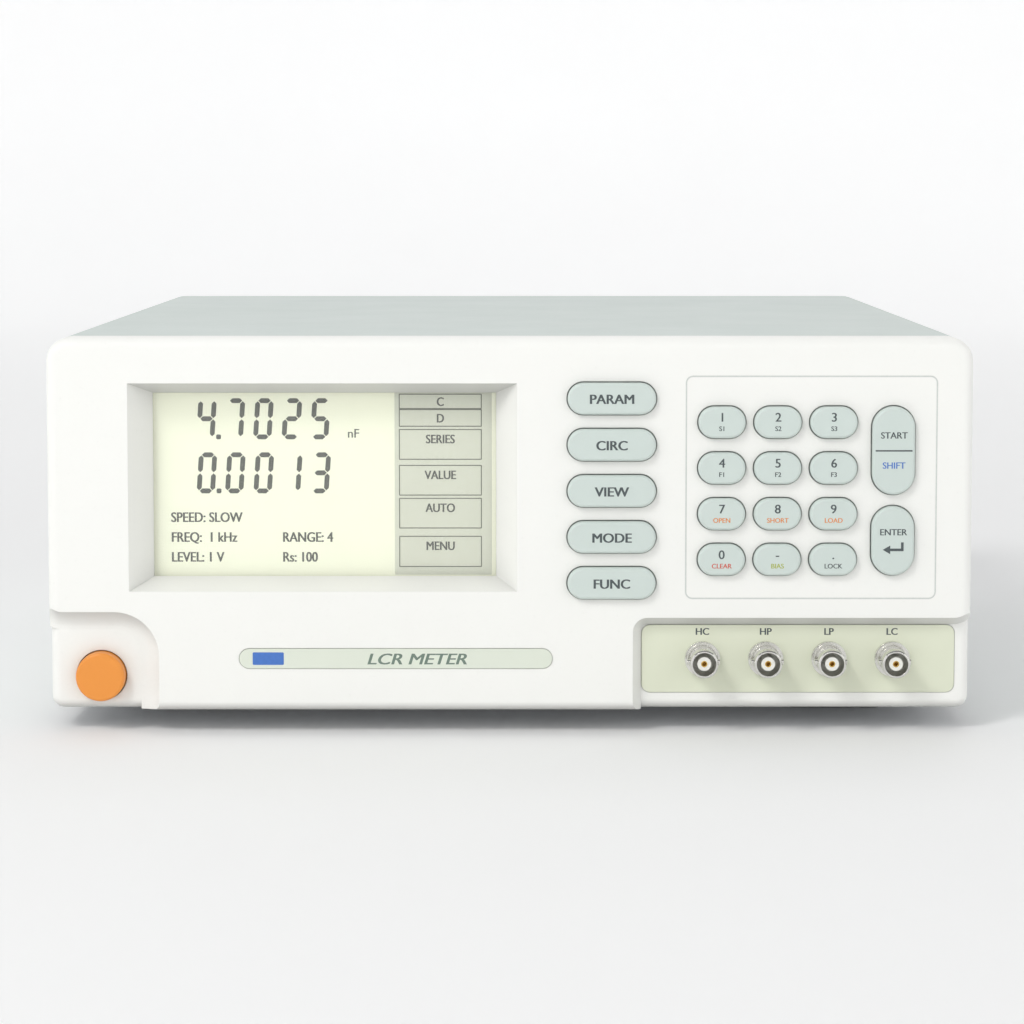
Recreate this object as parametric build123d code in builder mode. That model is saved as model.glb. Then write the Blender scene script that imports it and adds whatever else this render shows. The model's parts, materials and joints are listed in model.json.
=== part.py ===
from build123d import *
import os

os.makedirs("parts", exist_ok=True)

# Component tester (bench LCR meter). X runs to the right, the front faces -Y, Z is up.
# The origin is under the middle of the instrument, on the surface that it stands on.

# ------------------------------------------------------------------ driving dimensions
case_width = 320.0
case_height = 130.0
case_depth = 305.0
foot_height = 8.0
seam_gap = 0.15            # between fixed sheet-metal and moulded pieces
moving_gap = 0.35          # between a moving piece and what it passes
running_gap = 0.08         # radial, pin in its hole
screw_gap = 0.05           # radial, screw in its hole
cut_reach = 1.0            # how far a cut runs past the surface it opens
root_overlap = 1.0         # how far a boss runs into the wall that it stands on
least_radius = 1.0         # of the case's corners on its inner outlines

# front bezel
bezel_wall = 3.0
bezel_side_wall = 2.5
bezel_skin_depth = 10.0
bezel_depth = 24.0
top_corner_radius = 8.5
bottom_corner_radius = 4.2
front_edge_radius = 3.6
setback_depth = 4.5
tab_boss_clearance = 1.0
left_boss_margin = 60.0
middle_boss_x = -30.0
pocket_boss_inset = 8.0
right_boss_margin = 12.0

# set-back corner of the power button
power_pocket_width = 38.4
power_pocket_height = 34.7
power_pocket_radius = 15.5
power_pocket_lip_radius = 5.0
power_slope_width = 6.9

# set-back corner of the test terminals
terminal_pocket_width = 117.3
terminal_pocket_height = 32.7
terminal_pocket_radius = 5.0
terminal_pocket_lip_radius = 6.0
terminal_slope_width = 3.0

# sheet metal
cover_thickness = 1.2
cover_bottom_gap = 1.5
tray_thickness = 1.5
tray_bend_radius = 3.0
tray_side_height = 34.0
flange_height = 14.0
rear_panel_thickness = 2.0
tab_width = 12.0
tab_over_screw = 4.5
side_vent_setback = 80.0
side_vent_rise = 70.4
side_vent_length = 42.0
side_vent_count = 14
tray_vent_length = 40.0
tray_vent_count = 7
vent_pitch = 8.0
vent_width = 3.2
rear_vent_rise = 84.5
rear_vent_length = 36.0
rear_vent_count = 18
rear_vent_pitch = 9.0

# display
display_margin = 28.3
display_width = 134.3
display_height = 72.3
display_rise = 78.0
display_bevel_side = 7.4
display_bevel_top = 4.0
display_recess = 10.0
display_frame_wall = 2.2
window_overlap = 3.0
window_thickness = 2.0
lcd_overlap = 5.5
lcd_thickness = 4.0
lcd_frame_wall = 0.8
lcd_frame_gap = 0.2
lcd_frame_lip = 1.0
board_thickness = 1.6
display_board_margin = 6.0

# keys
key_travel = 1.5
key_proud = 2.4
key_flange_width = 1.3
key_flange_thickness = 1.2
key_edge_radius = 1.1
function_key_width = 30.5
function_key_height = 11.0
function_key_margin = 124.8
function_key_top = 109.0
function_key_pitch = 16.0
number_key_width = 16.3
number_key_height = 10.9
number_key_margin = 86.9
number_key_top = 100.8
number_key_pitch_x = 19.25
number_key_pitch_z = 15.87
tall_key_width = 14.7
tall_key_margin = 27.8
start_key_height = 30.5
start_key_rise = 91.1
enter_key_height = 24.0
enter_key_rise = 59.8
mat_thickness = 1.2
mat_pad_height = 0.8
mat_pad_width = 6.0
keypad_board_left_margin = 8.6
keypad_board_right_margin = 9.0
keypad_board_top_margin = 6.0
keypad_board_bottom_margin = 1.5
keypad_boss_inset = 4.2
keypad_boss_offset = 5.5

# power button and its switch
power_button_diameter = 17.0
power_button_inset = 17.8
power_button_rise = 11.8
power_travel = 3.5
power_cap_length = 7.0
power_flange_width = 20.6
power_flange_height = 10.0
power_flange_thickness = 1.2
power_rod_size = 5.0
switch_width = 18.0
switch_height = 13.0
switch_length = 26.0
switch_depth = 34.0
rod_engagement = 8.0
switch_end_room = 1.0
switch_foot_inset_x = 2.0
switch_foot_inset_y = 3.0
blade_width = 3.0
blade_thickness = 0.8

# test terminals
bnc_count = 4
bnc_pitch = 22.0
bnc_margin = 27.0
bnc_rise = 17.8
bnc_barrel_diameter = 9.66
bnc_neck_diameter = 9.0
bnc_plain_length = 4.0
bnc_bore_diameter = 8.1
bnc_barrel_length = 8.5
bnc_lug_diameter = 2.0
bnc_lug_span = 11.2
bnc_lug_setback = 5.2
bnc_shoulder_diameter = 10.6
bnc_shoulder_length = 2.0
bnc_collar_diameter = 12.2
bnc_collar_thickness = 1.6
bnc_thread_diameter = 9.4
bnc_thread_proud = 0.6
bnc_chamfer = 0.4
bnc_nut_flats = 12.7
bnc_nut_thickness = 2.4
bnc_washer_diameter = 13.0
bnc_washer_thickness = 0.6
bnc_back_wall = 0.8
bnc_tail_diameter = 7.0
bnc_tail_length = 12.0
bnc_insulator_diameter = 4.8
bnc_insulator_setback = 1.2
bnc_contact_diameter = 2.2
bnc_contact_bore = 1.4
terminal_plate_width = 108.8
terminal_plate_height = 23.6
terminal_plate_margin = 5.3
terminal_plate_rise = 5.9
terminal_plate_thickness = 0.6
plate_recess = 0.3
plate_radius = 3.0
lead_diameter = 3.0
lead_bend_radius = 5.0
lead_landing = 10.0

# name strip
strip_margin = 66.3
strip_width = 108.4
strip_height = 6.8
strip_rise = 18.5

# feet and tilt legs
foot_inset_x = 42.0
foot_inset_front = 55.0
foot_inset_rear = 40.0
foot_width = 34.0
foot_length = 20.0
foot_radius = 3.0
foot_plug_radius = 3.0
foot_plug_proud = 1.5
leg_width = 20.0
leg_length = 44.0
leg_thickness = 4.0
leg_pivot_rise = 3.4
leg_barrel_radius = 2.4
leg_pin_radius = 1.5
leg_pin_length = 4.0
leg_pivot_inset = 2.0
leg_tip_radius = 1.5
leg_window_width = 10.0
leg_window_length = 22.0
leg_window_offset = 24.2
leg_window_radius = 3.0
foot_slot_roof = 2.0

# boards
stud_height = 8.0
stud_radius = 3.0
main_board_width = 190.0
main_board_length = 190.0
main_board_margin = 10.0
main_board_setback = 62.0
supply_board_width = 80.0
supply_board_length = 96.0
supply_board_margin = 26.0
supply_board_setback = 92.0
board_hole_inset = 5.0

# what stands on the main board; offsets are from the board's middle
chip_length = 20.0
chip_width = 8.0
chip_height = 3.4
chip_pitch_x = 34.0
chip_pitch_y = 24.0
chip_columns = 5
chip_rows = 3
chip_offset_y = 51.3
relay_width = 10.0
relay_length = 20.0
relay_height = 10.0
relay_pitch_x = 14.0
relay_pitch_y = 24.0
relay_columns = 3
relay_rows = 2
relay_offset_x = -60.8
shield_width = 84.0
shield_length = 50.0
shield_height = 16.0
shield_wall = 0.8
shield_offset_x = 41.8
shield_offset_y = -22.8

# what stands on the supply board; offsets are from the board's middle
capacitor_offset_x = 8.0
capacitor_edge_radius = 1.0
large_capacitor_radius = 11.0
large_capacitor_height = 36.0
large_capacitor_pitch = 27.0
large_capacitor_offset_y = -22.0
small_capacitor_radius = 5.0
small_capacitor_height = 18.0
small_capacitor_pitch = 16.0
small_capacitor_columns = 3
small_capacitor_rows = 2
small_capacitor_offset_y = 14.0
sink_length = 78.0
sink_height = 34.0
sink_thickness = 3.0
sink_inset = 12.0
fin_depth = 7.0
fin_thickness = 1.8
fin_pitch = 9.5
fin_count = 9
fin_offset = 4.5

# transformer
transformer_width = 66.0
transformer_depth = 34.0
transformer_height = 56.0
transformer_leg = 11.0
transformer_margin = 24.0
transformer_setback = 218.0
coil_build = 12.0
coil_corner_radius = 5.0

# screws
case_screw_radius = 1.5
case_screw_head_radius = 2.9
case_screw_head_height = 1.6
case_screw_length = 8.0
board_screw_radius = 1.25
board_screw_head_radius = 2.4
board_screw_head_height = 1.5
board_screw_length = 7.0
boss_radius = 2.7
side_screw_rise = 22.0
side_screw_setback = 18.0
rear_screw_inset = 42.0

# rear panel fittings
inlet_margin = 44.0
inlet_rise = 36.0
inlet_flange_width = 34.0
inlet_flange_height = 46.0
inlet_flange_thickness = 3.0
inlet_corner_radius = 3.0
inlet_body_width = 29.0
inlet_body_height = 40.0
inlet_body_depth = 27.0
socket_width = 24.4
socket_height = 16.6
socket_depth = 19.0
socket_corner = 4.5
socket_offset = 8.0
pin_width = 2.0
pin_height = 4.0
pin_length = 13.0
pin_pitch = 7.0
pin_offset = 2.0
drawer_width = 24.6
drawer_height = 9.0
drawer_depth = 19.0
drawer_offset = -12.0
drawer_face = 2.0
drawer_wall = 1.6
drawer_ledge_rise = 1.5
drawer_ledge_inset = 4.0
drawer_ledge_height = 2.0
drawer_ledge_depth = 2.0
fuse_length = 20.0
fuse_radius = 2.5
fuse_cap_length = 5.0
fuse_cap_step = 0.1
fuse_count = 2
fuse_end_inset = 0.5
fuse_gap = 0.15
fuse_rest_gap = 0.05
serial_x = 20.0
serial_width = 17.0
serial_height = 9.2
serial_flange = 31.0
serial_hole_radius = 0.5
serial_hole_pitch = 2.75
serial_row_offset = 1.4
serial_row_counts = (5, 4)
handler_x = 88.0
handler_width = 48.0
handler_height = 11.0
handler_flange = 66.0
handler_slot_inset = 3.0
handler_slot_height = 3.0
port_rise = 36.0
port_flange_height = 13.0
port_flange_thickness = 1.2
port_proud = 6.0
port_shell = 0.9
port_shell_depth = 1.0
port_corner_radius = 1.5
jack_nut_radius = 2.5
port_body_depth = 12.0
earth_x = -52.0
earth_rise = 36.0
earth_reach = 17.0
earth_diameter = 11.0
earth_base_diameter = 14.0
earth_base_thickness = 3.0
earth_grip_count = 16
earth_grip_radius = 0.5
earth_bore_radius = 2.0
earth_bore_depth = 12.0
earth_stud_radius = 2.9
earth_stud_length = 12.0

# cables
header_width = 34.0
header_height = 6.0
header_depth = 7.0
header_inset = 22.0
header_drop = 20.0
ribbon_width = 30.0
ribbon_thickness = 1.0
ribbon_bend_radius = 5.0
ribbon_turn = 16.0
ribbon_rise = 34.0
main_header_setback = 34.0
wire_radius = 1.2
wire_bend_radius = 4.0
terminal_spacing_x = 9.0
terminal_spacing_z = 6.0
terminal_length = 5.0
wire_lead_out = 9.0

# ------------------------------------------------------------------ places worked out from them
right_x = case_width / 2
left_x = -case_width / 2
bottom_z = foot_height
top_z = foot_height + case_height
plate_front = setback_depth + plate_recess - terminal_plate_thickness
collar_front = plate_front - bnc_collar_thickness
barrel_back = collar_front - bnc_shoulder_length
barrel_front = barrel_back - bnc_barrel_length
face_y = (-barrel_front - case_depth - earth_reach) / 2
rear_y = face_y + case_depth
lip_inset = cover_thickness + tray_thickness + 2 * seam_gap
cavity_inset = lip_inset + bezel_side_wall
floor_back = setback_depth + bezel_wall
nut_front = floor_back + bnc_washer_thickness
thread_end = nut_front + bnc_nut_thickness + bnc_thread_proud
insulator_end = thread_end - bnc_back_wall
display_x = left_x + display_margin + display_width / 2
display_z = bottom_z + display_rise
view_width = display_width - 2 * display_bevel_side
view_height = display_height - 2 * display_bevel_top
window_back = display_recess + window_thickness
lcd_back = window_back + lcd_frame_wall + lcd_thickness
display_board_front = lcd_back + lcd_frame_wall
flange_front = bezel_wall + moving_gap
flange_back = flange_front + key_flange_thickness
pad_front = flange_back + key_travel + moving_gap
keypad_board_front = pad_front + mat_pad_height + mat_thickness
tray_top = bottom_z + tray_thickness
board_bottom = tray_top + stud_height
board_top = board_bottom + board_thickness
rear_inside = case_depth - rear_panel_thickness
header_z = display_z - header_drop
display_header_x = display_x + display_width / 2 - header_inset


def front(depth):
    """Plane parallel to the face, a depth behind it; sketch x is X and sketch y is Z."""
    return Plane.XZ.offset(-(face_y + depth))


def case_outline(inset):
    """Outline of the case seen from the front, a distance inside its edge."""
    with Locations((0, bottom_z + case_height / 2)):
        Rectangle(case_width - 2 * inset, case_height - 2 * inset)
    fillet(vertices().group_by(Axis.Y)[-1], max(top_corner_radius - inset, least_radius))
    fillet(vertices().group_by(Axis.Y)[0], max(bottom_corner_radius - inset, least_radius))


# ------------------------------------------------------------------ keys: place, size, turn
keys = []
function_names = ["parameter", "circuit", "display", "mode", "function"]
function_key_x = right_x - function_key_margin
for row, name in enumerate(function_names):
    key_z = bottom_z + function_key_top - row * function_key_pitch
    keys.append((f"key_{name}", function_key_x, key_z, function_key_width, function_key_height, 0))
number_names = ["1", "2", "3", "4", "5", "6", "7", "8", "9", "0", "minus", "point"]
for index, name in enumerate(number_names):
    key_x = right_x - number_key_margin + (index % 3) * number_key_pitch_x
    key_z = bottom_z + number_key_top - (index // 3) * number_key_pitch_z
    keys.append((f"key_{name}", key_x, key_z, number_key_width, number_key_height, 0))
tall_x = right_x - tall_key_margin
keys.append(("key_start", tall_x, bottom_z + start_key_rise, start_key_height, tall_key_width, 90))
keys.append(("key_enter", tall_x, bottom_z + enter_key_rise, enter_key_height, tall_key_width, 90))


def key_shapes(growth):
    """Every key's outline, grown outwards, in the sketch being made."""
    for _, x, z, length, height, turn in keys:
        with Locations((x, z)):
            SlotOverall(length + 2 * growth, height + 2 * growth, rotation=turn)


keypad_left = function_key_x - function_key_width / 2 - keypad_board_left_margin
keypad_right = tall_x + tall_key_width / 2 + keypad_board_right_margin
keypad_top = bottom_z + function_key_top + function_key_height / 2 + keypad_board_top_margin
lowest_key_z = bottom_z + function_key_top - (len(function_names) - 1) * function_key_pitch
keypad_bottom = lowest_key_z - function_key_height / 2 - keypad_board_bottom_margin
keypad_middle = ((keypad_left + keypad_right) / 2, (keypad_top + keypad_bottom) / 2)
keypad_size = (keypad_right - keypad_left, keypad_top - keypad_bottom)
keypad_bosses = []
for boss_x in (keypad_left + keypad_boss_inset, keypad_right - keypad_boss_inset):
    for boss_z in (keypad_bottom + keypad_boss_inset, keypad_top - keypad_boss_inset):
        keypad_bosses.append((boss_x, boss_z))
boss_x = function_key_x + function_key_width / 2 + keypad_boss_offset
keypad_bosses.append((boss_x, keypad_top - keypad_boss_inset))
display_board_size = (display_width + 2 * display_board_margin, display_height + 2 * display_board_margin)
display_bosses = []
for side_x in (-1, 1):
    for side_z in (-1, 1):
        boss_x = display_x + side_x * (display_board_size[0] / 2 - boss_radius)
        boss_z = display_z + side_z * (display_board_size[1] / 2 - boss_radius)
        display_bosses.append((boss_x, boss_z))
bezel_boss_rise = cavity_inset + tab_boss_clearance
bezel_boss_z = bottom_z + bezel_boss_rise
bezel_boss_x = [
    left_x + left_boss_margin,
    middle_boss_x,
    right_x - terminal_pocket_width + pocket_boss_inset,
    right_x - right_boss_margin,
]
bezel_bosses = [(x, bezel_boss_z) for x in bezel_boss_x]
bnc_x = [right_x - bnc_margin - bnc_pitch * index for index in range(bnc_count)]
bnc_z = bottom_z + bnc_rise
bnc_points = [(x, bnc_z) for x in bnc_x]
power_point = (left_x + power_button_inset, bottom_z + power_button_rise)
plate_x = right_x - terminal_plate_margin - terminal_plate_width / 2
plate_z = bottom_z + terminal_plate_rise + terminal_plate_height / 2
strip_x = left_x + strip_margin + strip_width / 2
strip_z = bottom_z + strip_rise


def cut_setback(side, pocket_width, pocket_height, inner_radius, outer_radius, slope_width, hollow):
    """Cut one low corner of the raised fascia away, with a sloped or hollow-curved wall round it."""
    wall_x = side * right_x
    edge_x = wall_x - side * pocket_width
    edge_z = bottom_z + pocket_height
    below_z = bottom_z - pocket_height
    beyond_x = wall_x + side * pocket_width
    with BuildLine(front(0)) as edge:
        lip_start = (wall_x, edge_z + outer_radius)
        lip = RadiusArc(lip_start, (wall_x - side * outer_radius, edge_z), side * outer_radius)
        top = Line(lip @ 1, (edge_x + side * inner_radius, edge_z))
        corner = RadiusArc(top @ 1, (edge_x, edge_z - inner_radius), -side * inner_radius)
        Line(corner @ 1, (edge_x, below_z))
    wire = edge.wires()[0]
    with BuildSketch(Plane(origin=wire @ 0, x_dir=(side, 0, 0), z_dir=(0, 0, -1))) as slope:
        outside = side * cut_reach
        inside = -side * setback_depth
        with BuildLine():
            Line((0, outside), (0, 0))
            if hollow:
                TangentArc((slope_width, inside), (0, 0), tangent=(-1, 0))
            else:
                Line((0, 0), (slope_width, inside))
            Line((slope_width, inside), (slope_width, outside))
            Line((slope_width, outside), (0, outside))
        make_face()
    sweep(slope.sketch, path=wire, mode=Mode.SUBTRACT, transition=Transition.RIGHT)
    grown = inner_radius - slope_width
    with BuildSketch(front(-cut_reach)) as corner_area:
        with BuildLine():
            lip_start = (wall_x + side * slope_width, edge_z + outer_radius)
            lip_end = (wall_x - side * outer_radius, edge_z - slope_width)
            lip = RadiusArc(lip_start, lip_end, side * (outer_radius + slope_width))
            top = Line(lip @ 1, (edge_x + side * inner_radius, edge_z - slope_width))
            corner = RadiusArc(top @ 1, (edge_x + side * slope_width, edge_z - inner_radius), -side * grown)
            Line(corner @ 1, (edge_x + side * slope_width, below_z))
            Polyline((edge_x + side * slope_width, below_z), (beyond_x, below_z),
                     (beyond_x, edge_z + outer_radius), lip_start)
        make_face()
    extrude(corner_area.sketch, amount=-(floor_back + 2 * cut_reach), mode=Mode.SUBTRACT)


# ------------------------------------------------------------------ front bezel
with BuildPart() as fascia:
    with BuildSketch(front(0)):
        case_outline(0)
    extrude(amount=-floor_back)
    fillet(fascia.faces().sort_by(Axis.Y)[0].edges(), front_edge_radius)
    cut_setback(-1, power_pocket_width, power_pocket_height, power_pocket_radius,
                power_pocket_lip_radius, power_slope_width, True)
    cut_setback(1, terminal_pocket_width, terminal_pocket_height, terminal_pocket_radius,
                terminal_pocket_lip_radius, terminal_slope_width, False)

with BuildPart() as front_bezel:
    with BuildSketch(front(setback_depth)):
        case_outline(0)
    extrude(amount=-(bezel_skin_depth - setback_depth))
    fillet(front_bezel.faces().sort_by(Axis.Y)[0].edges(), front_edge_radius)
    with BuildSketch(front(bezel_skin_depth)):
        case_outline(lip_inset)
    extrude(amount=-(bezel_depth - bezel_skin_depth))
    add(fascia.part)
    with BuildSketch(front(floor_back)):
        case_outline(cavity_inset)
    extrude(amount=-(bezel_depth - floor_back), mode=Mode.SUBTRACT)
    # the raised fascia is hollow behind, down to its own wall
    hollow_top = top_z - cavity_inset
    hollow_step = bottom_z + max(power_pocket_height, terminal_pocket_height) + bezel_wall
    hollow_left = left_x + power_pocket_width + bezel_wall
    hollow_right = right_x - terminal_pocket_width - bezel_wall
    hollow_bottom = bottom_z + cavity_inset
    with BuildSketch(front(bezel_wall)):
        with Locations((0, (hollow_top + hollow_step) / 2)):
            Rectangle(case_width - 2 * cavity_inset, hollow_top - hollow_step)
        with Locations(((hollow_left + hollow_right) / 2, (hollow_bottom + hollow_step) / 2)):
            Rectangle(hollow_right - hollow_left, hollow_step - hollow_bottom)
    extrude(amount=-(floor_back - bezel_wall), mode=Mode.SUBTRACT)
    # display surround
    with BuildSketch(front(bezel_wall)):
        with Locations((display_x, display_z)):
            Rectangle(display_width + 2 * display_frame_wall, display_height + 2 * display_frame_wall)
    extrude(amount=-(display_recess - bezel_wall))
    # screw bosses behind the wall
    with BuildSketch(front(bezel_wall)):
        with Locations(*keypad_bosses):
            Circle(boss_radius)
    extrude(amount=-(keypad_board_front - bezel_wall))
    with BuildSketch(front(bezel_wall)):
        with Locations(*display_bosses):
            Circle(boss_radius)
    extrude(amount=-(display_board_front - bezel_wall))
    with BuildSketch(front(floor_back - root_overlap)):
        with Locations(*bezel_bosses):
            Rectangle(2 * boss_radius, 2 * (bezel_boss_rise - lip_inset))
    extrude(amount=-(bezel_depth - floor_back + root_overlap))
    with BuildSketch(front(0)):
        with Locations((display_x, display_z)):
            Rectangle(display_width, display_height)
    with BuildSketch(front(display_recess)):
        with Locations((display_x, display_z)):
            Rectangle(view_width, view_height)
    loft(mode=Mode.SUBTRACT)
    # key holes
    with BuildSketch(front(-cut_reach)):
        key_shapes(moving_gap)
    extrude(amount=-(bezel_wall + 2 * cut_reach), mode=Mode.SUBTRACT)
    # power button hole and the room behind it
    with BuildSketch(front(-cut_reach)):
        with Locations(power_point):
            Circle(power_button_diameter / 2 + moving_gap)
    extrude(amount=-(bezel_depth + 2 * cut_reach), mode=Mode.SUBTRACT)
    # terminal holes and the recess of their plate
    with BuildSketch(front(-cut_reach)):
        with Locations(*bnc_points):
            Circle(bnc_thread_diameter / 2 + screw_gap)
    extrude(amount=-(floor_back + 2 * cut_reach), mode=Mode.SUBTRACT)
    with BuildSketch(front(setback_depth - cut_reach)):
        with Locations((plate_x, plate_z)):
            recess_size = (terminal_plate_width + 2 * seam_gap, terminal_plate_height + 2 * seam_gap)
            RectangleRounded(*recess_size, plate_radius)
    extrude(amount=-(cut_reach + plate_recess), mode=Mode.SUBTRACT)
    with BuildSketch(front(-cut_reach)):
        with Locations((strip_x, strip_z)):
            SlotOverall(strip_width + 2 * seam_gap, strip_height + 2 * seam_gap)
    extrude(amount=-(cut_reach + plate_recess), mode=Mode.SUBTRACT)
    # pilot holes for the screws
    with BuildSketch(front(keypad_board_front - board_screw_length)):
        with Locations(*keypad_bosses):
            Circle(board_screw_radius + screw_gap)
    extrude(amount=-board_screw_length, mode=Mode.SUBTRACT)
    with BuildSketch(front(display_board_front - board_screw_length)):
        with Locations(*display_bosses):
            Circle(board_screw_radius + screw_gap)
    extrude(amount=-board_screw_length, mode=Mode.SUBTRACT)
    with BuildSketch(front(bezel_depth - case_screw_length)):
        with Locations(*bezel_bosses):
            Circle(case_screw_radius + screw_gap)
    extrude(amount=-case_screw_length, mode=Mode.SUBTRACT)
front_bezel.part.label = "front_bezel"
export_step(front_bezel.part, "parts/front_bezel.step")

# ------------------------------------------------------------------ display
with BuildPart() as display_window:
    with BuildSketch(front(display_recess)):
        with Locations((display_x, display_z)):
            Rectangle(view_width + 2 * window_overlap, view_height + 2 * window_overlap)
    extrude(amount=-window_thickness)
display_window.part.label = "display_window"
export_step(display_window.part, "parts/display_window.step")

lcd_width = view_width + 2 * lcd_overlap
lcd_height = view_height + 2 * lcd_overlap
with BuildPart() as lcd_frame:
    frame_grow = 2 * (lcd_frame_wall + lcd_frame_gap)
    with BuildSketch(front(window_back)):
        with Locations((display_x, display_z)):
            Rectangle(lcd_width + frame_grow, lcd_height + frame_grow)
            Rectangle(view_width + 2 * lcd_frame_lip, view_height + 2 * lcd_frame_lip, mode=Mode.SUBTRACT)
    extrude(amount=-lcd_frame_wall)
    with BuildSketch(front(window_back + lcd_frame_wall)):
        with Locations((display_x, display_z)):
            Rectangle(lcd_width + frame_grow, lcd_height + frame_grow)
            Rectangle(lcd_width + 2 * lcd_frame_gap, lcd_height + 2 * lcd_frame_gap, mode=Mode.SUBTRACT)
    extrude(amount=-(display_board_front - window_back - lcd_frame_wall))
lcd_frame.part.label = "lcd_frame"
export_step(lcd_frame.part, "parts/lcd_frame.step")

with BuildPart() as lcd_glass:
    with BuildSketch(front(window_back + lcd_frame_wall)):
        with Locations((display_x, display_z)):
            Rectangle(lcd_width, lcd_height)
    extrude(amount=-lcd_thickness)
lcd_glass.part.label = "lcd_glass"
export_step(lcd_glass.part, "parts/lcd_glass.step")

with BuildPart() as display_board:
    with BuildSketch(front(display_board_front)):
        with Locations((display_x, display_z)):
            Rectangle(*display_board_size)
        with Locations(*display_bosses):
            Circle(board_screw_radius + screw_gap, mode=Mode.SUBTRACT)
    extrude(amount=-board_thickness)
    with BuildSketch(front(display_board_front + board_thickness)):
        with Locations((display_header_x, header_z)):
            Rectangle(header_width, header_height)
    extrude(amount=-header_depth)
display_board.part.label = "display_board"
export_step(display_board.part, "parts/display_board.step")

# ------------------------------------------------------------------ keys
for name, x, z, length, height, turn in keys:
    with BuildPart() as key:
        with BuildSketch(front(-key_proud)):
            with Locations((x, z)):
                SlotOverall(length, height, rotation=turn)
        extrude(amount=-(key_proud + flange_front))
        fillet(key.faces().sort_by(Axis.Y)[0].edges(), key_edge_radius)
        with BuildSketch(front(flange_front)):
            with Locations((x, z)):
                SlotOverall(length + 2 * key_flange_width, height + 2 * key_flange_width, rotation=turn)
        extrude(amount=-key_flange_thickness)
    key.part.label = name
    export_step(key.part, f"parts/{name}.step")

with BuildPart() as keypad_mat:
    with BuildSketch(front(pad_front + mat_pad_height)):
        with Locations(keypad_middle):
            Rectangle(*keypad_size)
        with Locations(*keypad_bosses):
            Circle(boss_radius + moving_gap, mode=Mode.SUBTRACT)
    extrude(amount=-mat_thickness)
    with BuildSketch(front(pad_front)):
        for _, x, z, length, height, turn in keys:
            with Locations((x, z)):
                SlotOverall(length - mat_pad_width / 2, mat_pad_width, rotation=turn)
    extrude(amount=-mat_pad_height)
keypad_mat.part.label = "keypad_mat"
export_step(keypad_mat.part, "parts/keypad_mat.step")

with BuildPart() as keypad_board:
    with BuildSketch(front(keypad_board_front)):
        with Locations(keypad_middle):
            Rectangle(*keypad_size)
        with Locations(*keypad_bosses):
            Circle(board_screw_radius + screw_gap, mode=Mode.SUBTRACT)
    extrude(amount=-board_thickness)
    with BuildSketch(front(keypad_board_front + board_thickness)):
        with Locations(keypad_middle):
            Rectangle(header_width, header_height)
    extrude(amount=-header_depth)
keypad_board.part.label = "keypad_board"
export_step(keypad_board.part, "parts/keypad_board.step")

# ------------------------------------------------------------------ power button and switch
power_flange_front = floor_back + moving_gap
power_flange_back = power_flange_front + power_flange_thickness
with BuildPart() as power_button:
    with BuildSketch(front(0)):
        with Locations(power_point):
            Circle(power_button_diameter / 2)
    extrude(amount=-power_cap_length)
    fillet(power_button.faces().sort_by(Axis.Y)[0].edges(), key_edge_radius)
    with BuildSketch(front(power_cap_length)):
        with Locations(power_point):
            Circle(power_flange_height / 2)
    extrude(amount=-(power_flange_front - power_cap_length))
    with BuildSketch(front(power_flange_front)):
        with Locations(power_point):
            SlotOverall(power_flange_width, power_flange_height)
    extrude(amount=-power_flange_thickness)
    with BuildSketch(front(power_flange_back)):
        with Locations(power_point):
            Rectangle(power_rod_size, power_rod_size)
    extrude(amount=-(switch_depth + rod_engagement - power_flange_back))
power_button.part.label = "power_button"
export_step(power_button.part, "parts/power_button.step")

with BuildPart() as power_switch:
    with BuildSketch(front(switch_depth)):
        with Locations(power_point):
            Rectangle(switch_width, switch_height)
    extrude(amount=-switch_length)
    with BuildSketch(front(switch_depth)):
        with Locations(power_point):
            Rectangle(power_rod_size + 2 * moving_gap, power_rod_size + 2 * moving_gap)
    extrude(amount=-(rod_engagement + power_travel + switch_end_room), mode=Mode.SUBTRACT)
    switch_floor = power_point[1] - switch_height / 2
    with BuildSketch(Plane.XY.offset(tray_top)):
        with Locations((power_point[0], face_y + switch_depth + switch_length / 2)):
            Rectangle(switch_width - 2 * switch_foot_inset_x, switch_length - 2 * switch_foot_inset_y)
    extrude(amount=switch_floor - tray_top + root_overlap)
    switch_back = switch_depth + switch_length
    with BuildSketch(front(switch_back)):
        with Locations(power_point):
            with GridLocations(terminal_spacing_x, terminal_spacing_z, 2, 2):
                Rectangle(blade_width, blade_thickness)
    extrude(amount=-terminal_length)
power_switch.part.label = "power_switch"
export_step(power_switch.part, "parts/power_switch.step")

# ------------------------------------------------------------------ plates
with BuildPart() as terminal_plate:
    with BuildSketch(front(plate_front)):
        with Locations((plate_x, plate_z)):
            RectangleRounded(terminal_plate_width, terminal_plate_height, plate_radius)
        with Locations(*bnc_points):
            Circle(bnc_thread_diameter / 2 + screw_gap, mode=Mode.SUBTRACT)
    extrude(amount=-terminal_plate_thickness)
terminal_plate.part.label = "terminal_plate"
export_step(terminal_plate.part, "parts/terminal_plate.step")

with BuildPart() as name_strip:
    with BuildSketch(front(plate_recess - terminal_plate_thickness)):
        with Locations((strip_x, strip_z)):
            SlotOverall(strip_width, strip_height)
    extrude(amount=-terminal_plate_thickness)
name_strip.part.label = "name_strip"
export_step(name_strip.part, "parts/name_strip.step")

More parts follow.
